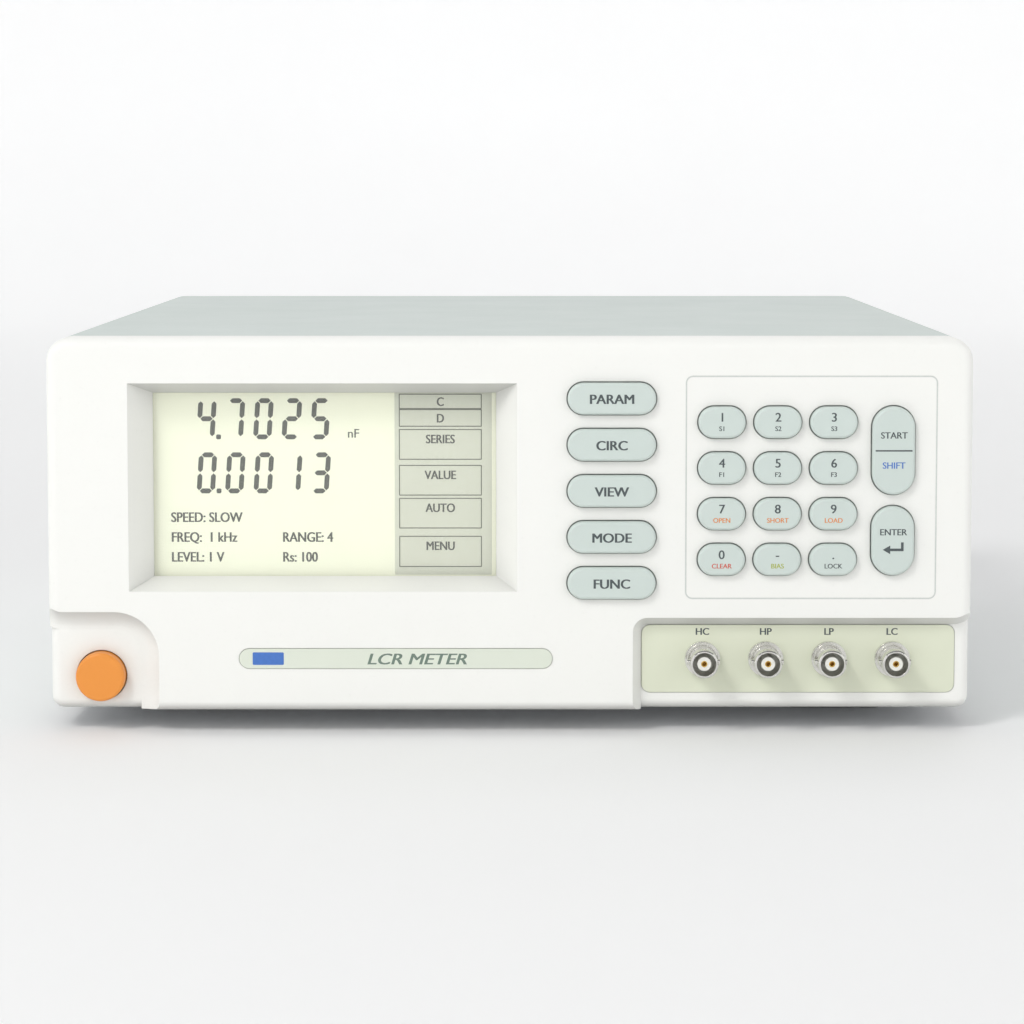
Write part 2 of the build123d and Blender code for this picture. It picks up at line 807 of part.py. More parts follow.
# ------------------------------------------------------------------ test terminals, four of each
with BuildPart() as bnc_bodies:
    with BuildSketch(front(barrel_front)):
        with Locations(*bnc_points):
            Circle(bnc_barrel_diameter / 2)
    extrude(amount=-bnc_plain_length)
    chamfer(bnc_bodies.faces().group_by(Axis.Y)[0].edges(), bnc_chamfer)
    with BuildSketch(front(barrel_front + bnc_plain_length)):
        with Locations(*bnc_points):
            Circle(bnc_neck_diameter / 2)
    extrude(amount=-(bnc_barrel_length - bnc_plain_length))
    with BuildSketch(front(barrel_back)):
        with Locations(*bnc_points):
            Circle(bnc_shoulder_diameter / 2)
    extrude(amount=-bnc_shoulder_length)
    with BuildSketch(front(collar_front)):
        with Locations(*bnc_points):
            Circle(bnc_collar_diameter / 2)
    extrude(amount=-bnc_collar_thickness)
    with BuildSketch(front(plate_front)):
        with Locations(*bnc_points):
            Circle(bnc_thread_diameter / 2)
    extrude(amount=-(thread_end - plate_front))
    with BuildSketch(front(thread_end)):
        with Locations(*bnc_points):
            Circle(bnc_tail_diameter / 2)
    extrude(amount=-bnc_tail_length)
    for x in bnc_x:
        with BuildSketch(Plane.YZ.offset(x)):
            with Locations((face_y + barrel_front + bnc_lug_setback, bnc_z)):
                Circle(bnc_lug_diameter / 2)
        extrude(amount=bnc_lug_span / 2, both=True)
    with BuildSketch(front(barrel_front)):
        with Locations(*bnc_points):
            Circle(bnc_bore_diameter / 2)
    extrude(amount=-(insulator_end - barrel_front), mode=Mode.SUBTRACT)
bnc_bodies.part.label = "bnc_bodies"
export_step(bnc_bodies.part, "parts/bnc_bodies.step")

with BuildPart() as bnc_insulators:
    with BuildSketch(front(barrel_front + bnc_insulator_setback)):
        with Locations(*bnc_points):
            Circle(bnc_insulator_diameter / 2)
    extrude(amount=-(barrel_back - barrel_front))
    with BuildSketch(front(barrel_back)):
        with Locations(*bnc_points):
            Circle(bnc_bore_diameter / 2)
    extrude(amount=-(insulator_end - barrel_back))
    with BuildSketch(front(barrel_front)):
        with Locations(*bnc_points):
            Circle(bnc_contact_diameter / 2)
    extrude(amount=-(insulator_end - barrel_front), mode=Mode.SUBTRACT)
bnc_insulators.part.label = "bnc_insulators"
export_step(bnc_insulators.part, "parts/bnc_insulators.step")

with BuildPart() as bnc_contacts:
    with BuildSketch(front(barrel_front + bnc_insulator_setback)):
        with Locations(*bnc_points):
            Circle(bnc_contact_diameter / 2)
    extrude(amount=-(insulator_end - barrel_front - bnc_insulator_setback))
    with BuildSketch(front(barrel_front)):
        with Locations(*bnc_points):
            Circle(bnc_contact_bore / 2)
    extrude(amount=-bnc_barrel_length, mode=Mode.SUBTRACT)
bnc_contacts.part.label = "bnc_contacts"
export_step(bnc_contacts.part, "parts/bnc_contacts.step")

with BuildPart() as bnc_nuts:
    with BuildSketch(front(nut_front)):
        with Locations(*bnc_points):
            RegularPolygon(bnc_nut_flats / 2, 6, major_radius=False)
    extrude(amount=-bnc_nut_thickness)
    chamfer(bnc_nuts.faces().group_by(Axis.Y)[-1].edges(), bnc_chamfer)
    with BuildSketch(front(nut_front)):
        with Locations(*bnc_points):
            Circle(bnc_thread_diameter / 2 + screw_gap)
    extrude(amount=-bnc_nut_thickness, mode=Mode.SUBTRACT)
bnc_nuts.part.label = "bnc_nuts"
export_step(bnc_nuts.part, "parts/bnc_nuts.step")

with BuildPart() as bnc_washers:
    with BuildSketch(front(floor_back)):
        with Locations(*bnc_points):
            Circle(bnc_washer_diameter / 2)
            Circle(bnc_thread_diameter / 2 + screw_gap, mode=Mode.SUBTRACT)
    extrude(amount=-bnc_washer_thickness)
bnc_washers.part.label = "bnc_washers"
export_step(bnc_washers.part, "parts/bnc_washers.step")

# coaxial leads, straight back from the connectors and down to the main board
lead_start = thread_end + bnc_tail_length
lead_end = main_board_setback + lead_landing
with BuildPart() as bnc_leads:
    for x in bnc_x:
        with BuildLine(Plane.YZ.offset(x)) as lead_path:
            FilletPolyline(
                (face_y + lead_start, bnc_z),
                (face_y + lead_end, bnc_z),
                (face_y + lead_end, board_top),
                radius=lead_bend_radius,
            )
        with BuildSketch(front(lead_start)):
            with Locations((x, bnc_z)):
                Circle(lead_diameter / 2)
        sweep(path=lead_path.wires()[0])
bnc_leads.part.label = "bnc_leads"
export_step(bnc_leads.part, "parts/bnc_leads.step")

# ------------------------------------------------------------------ places inside the case
tray_outer_x = right_x - cover_thickness - seam_gap
tray_inner_x = tray_outer_x - tray_thickness
metal_front = bezel_skin_depth + seam_gap
main_board_x = tray_inner_x - main_board_margin - main_board_width / 2
main_board_y = face_y + main_board_setback + main_board_length / 2
supply_board_x = -tray_inner_x + supply_board_margin + supply_board_width / 2
supply_board_y = face_y + supply_board_setback + supply_board_length / 2
boards = [
    (main_board_x, main_board_y, main_board_width, main_board_length),
    (supply_board_x, supply_board_y, supply_board_width, supply_board_length),
]
stud_points = []
for x, y, width, length in boards:
    for side_x in (-1, 1):
        for side_y in (-1, 1):
            stud_x = x + side_x * (width / 2 - board_hole_inset)
            stud_y = y + side_y * (length / 2 - board_hole_inset)
            stud_points.append((stud_x, stud_y))
foot_x = right_x - foot_inset_x
foot_front_y = face_y + foot_inset_front
foot_rear_y = rear_y - foot_inset_rear
foot_points = [(side * foot_x, y) for side in (-1, 1) for y in (foot_front_y, foot_rear_y)]
side_screw_points = [
    (face_y + metal_front + side_screw_setback, bottom_z + side_screw_rise),
    (rear_y - side_screw_setback, bottom_z + side_screw_rise),
]
rear_screw_low_z = bottom_z + side_screw_rise
rear_screw_high_z = top_z - cover_thickness - flange_height / 2
rear_screw_low = [(side * (tray_inner_x - flange_height / 2), rear_screw_low_z) for side in (-1, 1)]
rear_screw_high = [(side * (right_x - rear_screw_inset), rear_screw_high_z) for side in (-1, 1)]
case_hole = case_screw_radius + screw_gap

# ------------------------------------------------------------------ top cover
with BuildPart() as top_cover:
    cover_height = case_height - cover_bottom_gap
    with BuildSketch(front(metal_front)):
        with Locations((0, top_z - cover_height / 2)):
            Rectangle(case_width, cover_height)
        fillet(vertices().group_by(Axis.Y)[-1], top_corner_radius)
    extrude(amount=-(case_depth - metal_front))
    with BuildSketch(front(metal_front)):
        with Locations((0, top_z - cover_thickness - cover_height / 2)):
            Rectangle(case_width - 2 * cover_thickness, cover_height)
        fillet(vertices().group_by(Axis.Y)[-1], top_corner_radius - cover_thickness)
    extrude(amount=-(case_depth - metal_front), mode=Mode.SUBTRACT)
    with BuildSketch(front(rear_inside - seam_gap)):
        with Locations((0, top_z - cover_thickness / 2 - flange_height / 2)):
            Rectangle(case_width - 2 * top_corner_radius, flange_height + cover_thickness)
    extrude(amount=cover_thickness)
    with BuildSketch(front(case_depth)):
        with Locations(*rear_screw_high):
            Circle(case_hole)
    extrude(amount=2 * flange_height, mode=Mode.SUBTRACT)
    with BuildSketch(Plane.YZ):
        with Locations((rear_y - side_vent_setback, bottom_z + side_vent_rise)):
            with GridLocations(vent_pitch, 0, side_vent_count, 1):
                SlotOverall(side_vent_length, vent_width, rotation=90)
        with Locations(*side_screw_points):
            Circle(case_hole)
    extrude(amount=case_width, both=True, mode=Mode.SUBTRACT)
top_cover.part.label = "top_cover"
export_step(top_cover.part, "parts/top_cover.step")

# ------------------------------------------------------------------ chassis tray
tab_back = bezel_depth + seam_gap
tab_height = bezel_boss_rise + tab_over_screw - tray_thickness
with BuildPart() as chassis_tray:
    with BuildSketch(front(metal_front)):
        with Locations((0, bottom_z + tray_side_height / 2)):
            Rectangle(2 * tray_outer_x, tray_side_height)
        fillet(vertices().group_by(Axis.Y)[0], tray_bend_radius)
    extrude(amount=-(rear_inside - seam_gap - metal_front))
    with BuildSketch(front(metal_front)):
        with Locations((0, tray_top + tray_side_height / 2)):
            Rectangle(2 * tray_inner_x, tray_side_height)
        fillet(vertices().group_by(Axis.Y)[0], tray_bend_radius - tray_thickness)
    extrude(amount=-(rear_inside - metal_front), mode=Mode.SUBTRACT)
    # tabs that hold the bezel and the rear panel
    with BuildSketch(front(tab_back)):
        with Locations(*[(x, tray_top + tab_height / 2 - tray_thickness / 2) for x in bezel_boss_x]):
            Rectangle(tab_width, tab_height + tray_thickness)
        with Locations(*bezel_bosses):
            Circle(case_hole, mode=Mode.SUBTRACT)
    extrude(amount=-tray_thickness)
    tab_z = (bottom_z + tray_thickness / 2 + bottom_z + tray_side_height) / 2
    with BuildSketch(front(rear_inside - seam_gap)):
        for side in (-1, 1):
            with Locations((side * (tray_inner_x - flange_height / 2 + tray_thickness / 4), tab_z)):
                Rectangle(flange_height + tray_thickness / 2, tray_side_height - tray_thickness / 2)
        with Locations(*rear_screw_low):
            Circle(case_hole, mode=Mode.SUBTRACT)
    extrude(amount=tray_thickness)
    # studs under the boards
    with BuildSketch(Plane.XY.offset(tray_top - tray_thickness / 2)):
        with Locations(*stud_points):
            Circle(stud_radius)
    extrude(amount=stud_height + tray_thickness / 2)
    with BuildSketch(Plane.XY.offset(tray_top)):
        with Locations(*stud_points):
            Circle(board_screw_radius + screw_gap)
    extrude(amount=stud_height, mode=Mode.SUBTRACT)
    # holes: feet, vents, side screws
    with BuildSketch(Plane.XY.offset(bottom_z)):
        with Locations(*foot_points):
            Circle(foot_plug_radius + screw_gap)
        with Locations((supply_board_x, supply_board_y), (main_board_x, main_board_y)):
            with GridLocations(vent_pitch, 0, tray_vent_count, 1):
                SlotOverall(tray_vent_length, vent_width, rotation=90)
    extrude(amount=tray_thickness, mode=Mode.SUBTRACT)
    with BuildSketch(Plane.YZ):
        with Locations(*side_screw_points):
            Circle(case_hole)
    extrude(amount=case_width, both=True, mode=Mode.SUBTRACT)
chassis_tray.part.label = "chassis_tray"
export_step(chassis_tray.part, "parts/chassis_tray.step")

# ------------------------------------------------------------------ rear panel
inlet_x = left_x + inlet_margin
inlet_z = bottom_z + inlet_rise
port_z = bottom_z + port_rise
earth_z = bottom_z + earth_rise
panel_top = top_z - cover_thickness - seam_gap
panel_bottom = bottom_z + seam_gap
port_openings = [
    (serial_x, serial_width, serial_height),
    (handler_x, handler_width, handler_height),
]
with BuildPart() as rear_panel:
    with BuildSketch(front(rear_inside)):
        with Locations((0, (panel_top + panel_bottom) / 2)):
            Rectangle(2 * tray_outer_x, panel_top - panel_bottom)
        fillet(vertices().group_by(Axis.Y)[-1], top_corner_radius - cover_thickness - seam_gap)
        fillet(vertices().group_by(Axis.Y)[0], tray_bend_radius)
        with Locations((inlet_x, inlet_z)):
            Rectangle(inlet_body_width + 2 * seam_gap, inlet_body_height + 2 * seam_gap, mode=Mode.SUBTRACT)
        for x, width, height in port_openings:
            with Locations((x, port_z)):
                Rectangle(width + 2 * seam_gap, height + 2 * seam_gap, mode=Mode.SUBTRACT)
        with Locations((earth_x, earth_z)):
            Circle(earth_stud_radius + screw_gap, mode=Mode.SUBTRACT)
        with Locations(*rear_screw_low, *rear_screw_high):
            Circle(case_hole, mode=Mode.SUBTRACT)
        with Locations((0, bottom_z + rear_vent_rise)):
            with GridLocations(rear_vent_pitch, 0, rear_vent_count, 1):
                SlotOverall(rear_vent_length, vent_width, rotation=90, mode=Mode.SUBTRACT)
    extrude(amount=-rear_panel_thickness)
rear_panel.part.label = "rear_panel"
export_step(rear_panel.part, "parts/rear_panel.step")

# ------------------------------------------------------------------ mains inlet, fuse drawer, fuses
inlet_face = case_depth + inlet_flange_thickness
socket_z = inlet_z + socket_offset
drawer_z = inlet_z + drawer_offset
pin_points = [
    (inlet_x - pin_pitch, socket_z - pin_offset),
    (inlet_x + pin_pitch, socket_z - pin_offset),
    (inlet_x, socket_z + pin_offset),
]
with BuildPart() as mains_inlet:
    with BuildSketch(front(case_depth)):
        with Locations((inlet_x, inlet_z)):
            RectangleRounded(inlet_flange_width, inlet_flange_height, inlet_corner_radius)
    extrude(amount=-inlet_flange_thickness)
    with BuildSketch(front(case_depth)):
        with Locations((inlet_x, inlet_z)):
            Rectangle(inlet_body_width, inlet_body_height)
    extrude(amount=inlet_body_depth)
    with BuildSketch(front(inlet_face)):
        with Locations((inlet_x, socket_z)):
            Rectangle(socket_width, socket_height)
        chamfer(vertices().group_by(Axis.Y)[-1], socket_corner)
    extrude(amount=socket_depth, mode=Mode.SUBTRACT)
    with BuildSketch(front(inlet_face)):
        with Locations((inlet_x, drawer_z)):
            Rectangle(drawer_width + 2 * moving_gap, drawer_height + 2 * moving_gap)
    extrude(amount=drawer_depth + moving_gap, mode=Mode.SUBTRACT)
    with BuildSketch(front(inlet_face - socket_depth)):
        with Locations(*pin_points):
            Rectangle(pin_width, pin_height)
    extrude(amount=-pin_length)
mains_inlet.part.label = "mains_inlet"
export_step(mains_inlet.part, "parts/mains_inlet.step")

fuse_cap_radius = fuse_radius + fuse_cap_step
pocket_width = 2 * (fuse_cap_radius + fuse_gap)
pocket_floor = drawer_z - drawer_height / 2 + drawer_wall
fuse_depths = []
for index in range(fuse_count):
    fuse_depths.append(inlet_face - drawer_face - pocket_width / 2 - index * (pocket_width + drawer_wall))
with BuildPart() as fuse_drawer:
    with BuildSketch(front(inlet_face)):
        with Locations((inlet_x, drawer_z)):
            Rectangle(drawer_width, drawer_height)
    extrude(amount=drawer_depth)
    with BuildSketch(front(inlet_face)):
        with Locations((inlet_x, drawer_z - drawer_height / 2 + drawer_ledge_rise)):
            Rectangle(drawer_width - 2 * drawer_ledge_inset, drawer_ledge_height)
    extrude(amount=-drawer_ledge_depth)
    with BuildSketch(Plane.XY.offset(pocket_floor)):
        with Locations(*[(inlet_x, face_y + depth) for depth in fuse_depths]):
            Rectangle(fuse_length + 2 * fuse_gap, pocket_width)
    extrude(amount=drawer_height, mode=Mode.SUBTRACT)
fuse_drawer.part.label = "fuse_drawer"
export_step(fuse_drawer.part, "parts/fuse_drawer.step")

fuse_points = [(face_y + depth, pocket_floor + fuse_cap_radius + fuse_rest_gap) for depth in fuse_depths]
with BuildPart() as fuses:
    with BuildSketch(Plane.YZ.offset(inlet_x)):
        with Locations(*fuse_points):
            Circle(fuse_radius)
    extrude(amount=fuse_length / 2 - fuse_end_inset, both=True)
    for side in (-1, 1):
        with BuildSketch(Plane.YZ.offset(inlet_x + side * fuse_length / 2)):
            with Locations(*fuse_points):
                Circle(fuse_cap_radius)
        extrude(amount=-side * fuse_cap_length)
fuses.part.label = "fuses"
export_step(fuses.part, "parts/fuses.step")

# ------------------------------------------------------------------ rear ports and earth post
serial_holes = []
for way, count in zip((1, -1), serial_row_counts):
    for index in range(count):
        hole_x = serial_x + serial_hole_pitch * (index - (count - 1) / 2)
        serial_holes.append((hole_x, port_z + way * serial_row_offset))
ports = [
    ("serial_port", serial_x, serial_width, serial_height, serial_flange),
    ("handler_port", handler_x, handler_width, handler_height, handler_flange),
]
for name, x, width, height, flange in ports:
    with BuildPart() as port:
        with BuildSketch(front(case_depth)):
            with Locations((x, port_z)):
                RectangleRounded(flange, port_flange_height, port_corner_radius)
        extrude(amount=-port_flange_thickness)
        with BuildSketch(front(case_depth - port_body_depth)):
            with Locations((x, port_z)):
                Rectangle(width, height)
        extrude(amount=-(port_body_depth + port_proud))
        with BuildSketch(front(case_depth + port_proud - port_shell_depth)):
            with Locations((x, port_z)):
                Rectangle(width - 2 * port_shell, height - 2 * port_shell)
        extrude(amount=-port_shell_depth, mode=Mode.SUBTRACT)
        with BuildSketch(front(case_depth + port_flange_thickness)):
            with Locations((x - (flange + width) / 4, port_z), (x + (flange + width) / 4, port_z)):
                RegularPolygon(jack_nut_radius, 6)
        extrude(amount=-(port_proud - port_flange_thickness))
        if name == "serial_port":
            with BuildSketch(front(case_depth + port_proud)):
                with Locations(*serial_holes):
                    Circle(serial_hole_radius)
            extrude(amount=port_proud, mode=Mode.SUBTRACT)
        else:
            with BuildSketch(front(case_depth + port_proud)):
                with Locations((x, port_z)):
                    Rectangle(width - 2 * handler_slot_inset, handler_slot_height)
            extrude(amount=port_proud, mode=Mode.SUBTRACT)
    port.part.label = name
    export_step(port.part, f"parts/{name}.step")

with BuildPart() as earth_post:
    with BuildSketch(front(case_depth)):
        with Locations((earth_x, earth_z)):
            Circle(earth_base_diameter / 2)
    extrude(amount=-earth_base_thickness)
    with BuildSketch(front(case_depth + earth_base_thickness)):
        with Locations((earth_x, earth_z)):
            Circle(earth_diameter / 2)
            with PolarLocations(earth_diameter / 2, earth_grip_count):
                Circle(earth_grip_radius, mode=Mode.SUBTRACT)
    extrude(amount=-(earth_reach - earth_base_thickness))
    with BuildSketch(front(case_depth)):
        with Locations((earth_x, earth_z)):
            Circle(earth_stud_radius)
    extrude(amount=earth_stud_length)
    with BuildSketch(front(case_depth + earth_reach)):
        with Locations((earth_x, earth_z)):
            Circle(earth_bore_radius)
    extrude(amount=earth_bore_depth, mode=Mode.SUBTRACT)
earth_post.part.label = "earth_post"
export_step(earth_post.part, "parts/earth_post.step")

# ------------------------------------------------------------------ feet and tilt legs
leg_slot_width = leg_width + 2 * moving_gap
pivot_y = foot_front_y - foot_length / 2 + leg_barrel_radius + leg_pivot_inset
with BuildPart() as rubber_feet:
    with BuildSketch(Plane.XY):
        with Locations(*foot_points):
            RectangleRounded(foot_width, foot_length, foot_radius)
    extrude(amount=foot_height)
    with BuildSketch(Plane.XY):
        with Locations(*[(side * foot_x, pivot_y + foot_length) for side in (-1, 1)]):
            Rectangle(leg_slot_width, 2 * foot_length + 2 * (leg_barrel_radius + moving_gap))
    extrude(amount=foot_height - foot_slot_roof, mode=Mode.SUBTRACT)
    for side in (-1, 1):
        with BuildSketch(Plane.YZ.offset(side * foot_x)):
            with Locations((pivot_y, leg_pivot_rise)):
                Circle(leg_pin_radius + running_gap)
        extrude(amount=leg_width / 2 + leg_pin_length + moving_gap, both=True, mode=Mode.SUBTRACT)
    with BuildSketch(Plane.XY.offset(foot_height)):
        with Locations(*foot_points):
            Circle(foot_plug_radius)
    extrude(amount=tray_thickness + foot_plug_proud)
rubber_feet.part.label = "rubber_feet"
export_step(rubber_feet.part, "parts/rubber_feet.step")

for side, name in ((-1, "tilt_leg_left"), (1, "tilt_leg_right")):
    with BuildPart() as tilt_leg:
        with BuildSketch(Plane.YZ.offset(side * foot_x)):
            with Locations((pivot_y, leg_pivot_rise)):
                Circle(leg_barrel_radius)
            with Locations((pivot_y + leg_length / 2, leg_pivot_rise)):
                Rectangle(leg_length, leg_thickness)
            fillet(vertices().group_by(Axis.X)[-1], leg_tip_radius)
        extrude(amount=leg_width / 2, both=True)
        with BuildSketch(Plane.XY):
            with Locations((side * foot_x, pivot_y + leg_window_offset)):
                RectangleRounded(leg_window_width, leg_window_length, leg_window_radius)
        extrude(amount=foot_height, mode=Mode.SUBTRACT)
        with BuildSketch(Plane.YZ.offset(side * foot_x)):
            with Locations((pivot_y, leg_pivot_rise)):
                Circle(leg_pin_radius)
        extrude(amount=leg_width / 2 + leg_pin_length, both=True)
    tilt_leg.part.label = name
    export_step(tilt_leg.part, f"parts/{name}.step")

# ------------------------------------------------------------------ boards and what is on them
with BuildPart() as main_board:
    with BuildSketch(Plane.XY.offset(board_bottom)):
        with Locations((main_board_x, main_board_y)):
            Rectangle(main_board_width, main_board_length)
        with Locations(*stud_points[:4]):
            Circle(board_screw_radius + screw_gap, mode=Mode.SUBTRACT)
    extrude(amount=board_thickness)
main_board.part.label = "main_board"
export_step(main_board.part, "parts/main_board.step")

with BuildPart() as supply_board:
    with BuildSketch(Plane.XY.offset(board_bottom)):
        with Locations((supply_board_x, supply_board_y)):
            Rectangle(supply_board_width, supply_board_length)
        with Locations(*stud_points[4:]):
            Circle(board_screw_radius + screw_gap, mode=Mode.SUBTRACT)
    extrude(amount=board_thickness)
supply_board.part.label = "supply_board"
export_step(supply_board.part, "parts/supply_board.step")

main_header_y = main_board_y - main_board_length / 2 + main_header_setback
header_points = [(display_header_x, main_header_y), (keypad_middle[0], main_header_y)]
with BuildPart() as board_chips:
    with BuildSketch(Plane.XY.offset(board_top)):
        with Locations(*header_points):
            Rectangle(header_width, header_height)
    extrude(amount=header_depth)
    with BuildSketch(Plane.XY.offset(board_top)):
        with Locations((main_board_x, main_board_y + chip_offset_y)):
            with GridLocations(chip_pitch_x, chip_pitch_y, chip_columns, chip_rows):
                Rectangle(chip_length, chip_width)
    extrude(amount=chip_height)
    with BuildSketch(Plane.XY.offset(board_top)):
        with Locations((main_board_x + relay_offset_x, main_board_y)):
            with GridLocations(relay_pitch_x, relay_pitch_y, relay_columns, relay_rows):
                Rectangle(relay_width, relay_length)
    extrude(amount=relay_height)
board_chips.part.label = "board_chips"
export_step(board_chips.part, "parts/board_chips.step")

shield_point = (main_board_x + shield_offset_x, main_board_y + shield_offset_y)
with BuildPart() as shield_can:
    with BuildSketch(Plane.XY.offset(board_top)):
        with Locations(shield_point):
            Rectangle(shield_width, shield_length)
            Rectangle(shield_width - 2 * shield_wall, shield_length - 2 * shield_wall, mode=Mode.SUBTRACT)
    extrude(amount=shield_height)
    with BuildSketch(Plane.XY.offset(board_top + shield_height)):
        with Locations(shield_point):
            Rectangle(shield_width, shield_length)
    extrude(amount=shield_wall)
shield_can.part.label = "shield_can"
export_step(shield_can.part, "parts/shield_can.step")

capacitor_x = supply_board_x + capacitor_offset_x
with BuildPart() as capacitors:
    with BuildSketch(Plane.XY.offset(board_top)):
        with Locations((capacitor_x, supply_board_y + large_capacitor_offset_y)):
            with GridLocations(large_capacitor_pitch, 0, 2, 1):
                Circle(large_capacitor_radius)
    extrude(amount=large_capacitor_height)
    fillet(capacitors.edges().group_by(Axis.Z)[-1], capacitor_edge_radius)
    with BuildSketch(Plane.XY.offset(board_top)):
        with Locations((capacitor_x, supply_board_y + small_capacitor_offset_y)):
            with GridLocations(
                small_capacitor_pitch, small_capacitor_pitch, small_capacitor_columns, small_capacitor_rows
            ):
                Circle(small_capacitor_radius)
    extrude(amount=small_capacitor_height)
capacitors.part.label = "capacitors"
export_step(capacitors.part, "parts/capacitors.step")

sink_x = supply_board_x - supply_board_width / 2 + sink_inset
with BuildPart() as heat_sink:
    with BuildSketch(Plane.XY.offset(board_top)):
        with Locations((sink_x, supply_board_y)):
            Rectangle(sink_thickness, sink_length)
        with Locations((sink_x - fin_offset, supply_board_y)):
            with GridLocations(0, fin_pitch, 1, fin_count):
                Rectangle(fin_depth, fin_thickness)
    extrude(amount=sink_height)
heat_sink.part.label = "heat_sink"
export_step(heat_sink.part, "parts/heat_sink.step")

# ------------------------------------------------------------------ transformer
transformer_x = -tray_inner_x + transformer_margin + transformer_width / 2
window_width = (transformer_width - 4 * transformer_leg) / 2
window_height = transformer_height - 2 * transformer_leg
core_z = tray_top + transformer_height / 2
with BuildPart() as transformer_core:
    with BuildSketch(front(transformer_setback)):
        with Locations((transformer_x, core_z)):
            Rectangle(transformer_width, transformer_height)
            with GridLocations(2 * transformer_leg + window_width, 0, 2, 1):
                Rectangle(window_width, window_height, mode=Mode.SUBTRACT)
    extrude(amount=-transformer_depth)
transformer_core.part.label = "transformer_core"
export_step(transformer_core.part, "parts/transformer_core.step")

coil_y = face_y + transformer_setback + transformer_depth / 2
coil_width = 2 * (transformer_leg + window_width - 3 * seam_gap)
with BuildPart() as transformer_coil:
    with BuildSketch(Plane.XY.offset(core_z - window_height / 2 + seam_gap)):
        with Locations((transformer_x, coil_y)):
            RectangleRounded(coil_width, transformer_depth + 2 * coil_build, coil_corner_radius)
            Rectangle(2 * (transformer_leg + seam_gap), transformer_depth + 2 * seam_gap, mode=Mode.SUBTRACT)
    extrude(amount=window_height - 2 * seam_gap)
transformer_coil.part.label = "transformer_coil"
export_step(transformer_coil.part, "parts/transformer_coil.step")

# ------------------------------------------------------------------ cables
display_header_end = display_board_front + board_thickness + header_depth
keypad_header_end = keypad_board_front + board_thickness + header_depth
main_header_depth = main_header_y - face_y
ribbon_runs = [
    (display_header_x, header_z, display_header_end),
    (keypad_middle[0], keypad_middle[1], keypad_header_end),
]
with BuildPart() as ribbon_cables:
    for x, z, start in ribbon_runs:
        turn = display_header_end + ribbon_turn
        with BuildLine(Plane.YZ.offset(x)) as ribbon_path:
            FilletPolyline(
                (face_y + start, z),
                (face_y + turn, z),
                (face_y + turn, bottom_z + ribbon_rise),
                (face_y + main_header_depth, bottom_z + ribbon_rise),
                (face_y + main_header_depth, board_top + header_depth),
                radius=ribbon_bend_radius,
            )
        with BuildSketch(front(start)):
            with Locations((x, z)):
                Rectangle(ribbon_width, ribbon_thickness)
        sweep(path=ribbon_path.wires()[0])
ribbon_cables.part.label = "ribbon_cables"
export_step(ribbon_cables.part, "parts/ribbon_cables.step")

wire_start = case_depth - inlet_body_depth
wire_drop = wire_start - wire_lead_out
with BuildPart() as mains_wires:
    for sign in (-1, 1):
        x = inlet_x + sign * pin_pitch
        end_x = power_point[0] + sign * terminal_spacing_x / 2
        end_z = power_point[1] + sign * terminal_spacing_z / 2
        with BuildLine() as wire_path:
            FilletPolyline(
                (x, face_y + wire_start, socket_z),
                (x, face_y + wire_drop, socket_z),
                (x, face_y + wire_drop, end_z),
                (end_x, face_y + wire_drop, end_z),
                (end_x, face_y + switch_back + terminal_length, end_z),
                radius=wire_bend_radius,
            )
        with BuildSketch(front(wire_start)):
            with Locations((x, socket_z)):
                Circle(wire_radius)
        sweep(path=wire_path.wires()[0])
mains_wires.part.label = "mains_wires"
export_step(mains_wires.part, "parts/mains_wires.step")

# ------------------------------------------------------------------ screws
with BuildPart() as board_screws:
    with BuildSketch(Plane.XY.offset(board_top)):
        with Locations(*stud_points):
            Circle(board_screw_head_radius)
    extrude(amount=board_screw_head_height)
    with BuildSketch(Plane.XY.offset(board_top)):
        with Locations(*stud_points):
            Circle(board_screw_radius)
    extrude(amount=-board_screw_length)
    screw_sets = [(keypad_bosses, keypad_board_front), (display_bosses, display_board_front)]
    for points, board_front in screw_sets:
        with BuildSketch(front(board_front + board_thickness)):
            with Locations(*points):
                Circle(board_screw_head_radius)
        extrude(amount=-board_screw_head_height)
        with BuildSketch(front(board_front + board_thickness)):
            with Locations(*points):
                Circle(board_screw_radius)
        extrude(amount=board_screw_length)
board_screws.part.label = "board_screws"
export_step(board_screws.part, "parts/board_screws.step")

with BuildPart() as case_screws:
    screw_places = [(bezel_bosses, tab_back + tray_thickness), (rear_screw_low + rear_screw_high, case_depth)]
    for points, depth in screw_places:
        with BuildSketch(front(depth)):
            with Locations(*points):
                Circle(case_screw_head_radius)
        extrude(amount=-case_screw_head_height)
        with BuildSketch(front(depth)):
            with Locations(*points):
                Circle(case_screw_radius)
        extrude(amount=case_screw_length)
    for side in (-1, 1):
        with BuildSketch(Plane.YZ.offset(side * right_x)):
            with Locations(*side_screw_points):
                Circle(case_screw_head_radius)
        extrude(amount=side * case_screw_head_height)
        with BuildSketch(Plane.YZ.offset(side * right_x)):
            with Locations(*side_screw_points):
                Circle(case_screw_radius)
        extrude(amount=-side * case_screw_length)
case_screws.part.label = "case_screws"
export_step(case_screws.part, "parts/case_screws.step")
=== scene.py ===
"""Component tester (bench LCR meter): looks, lettering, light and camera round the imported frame."""
import json
import math

import bmesh
import bpy
from mathutils import Matrix, Vector


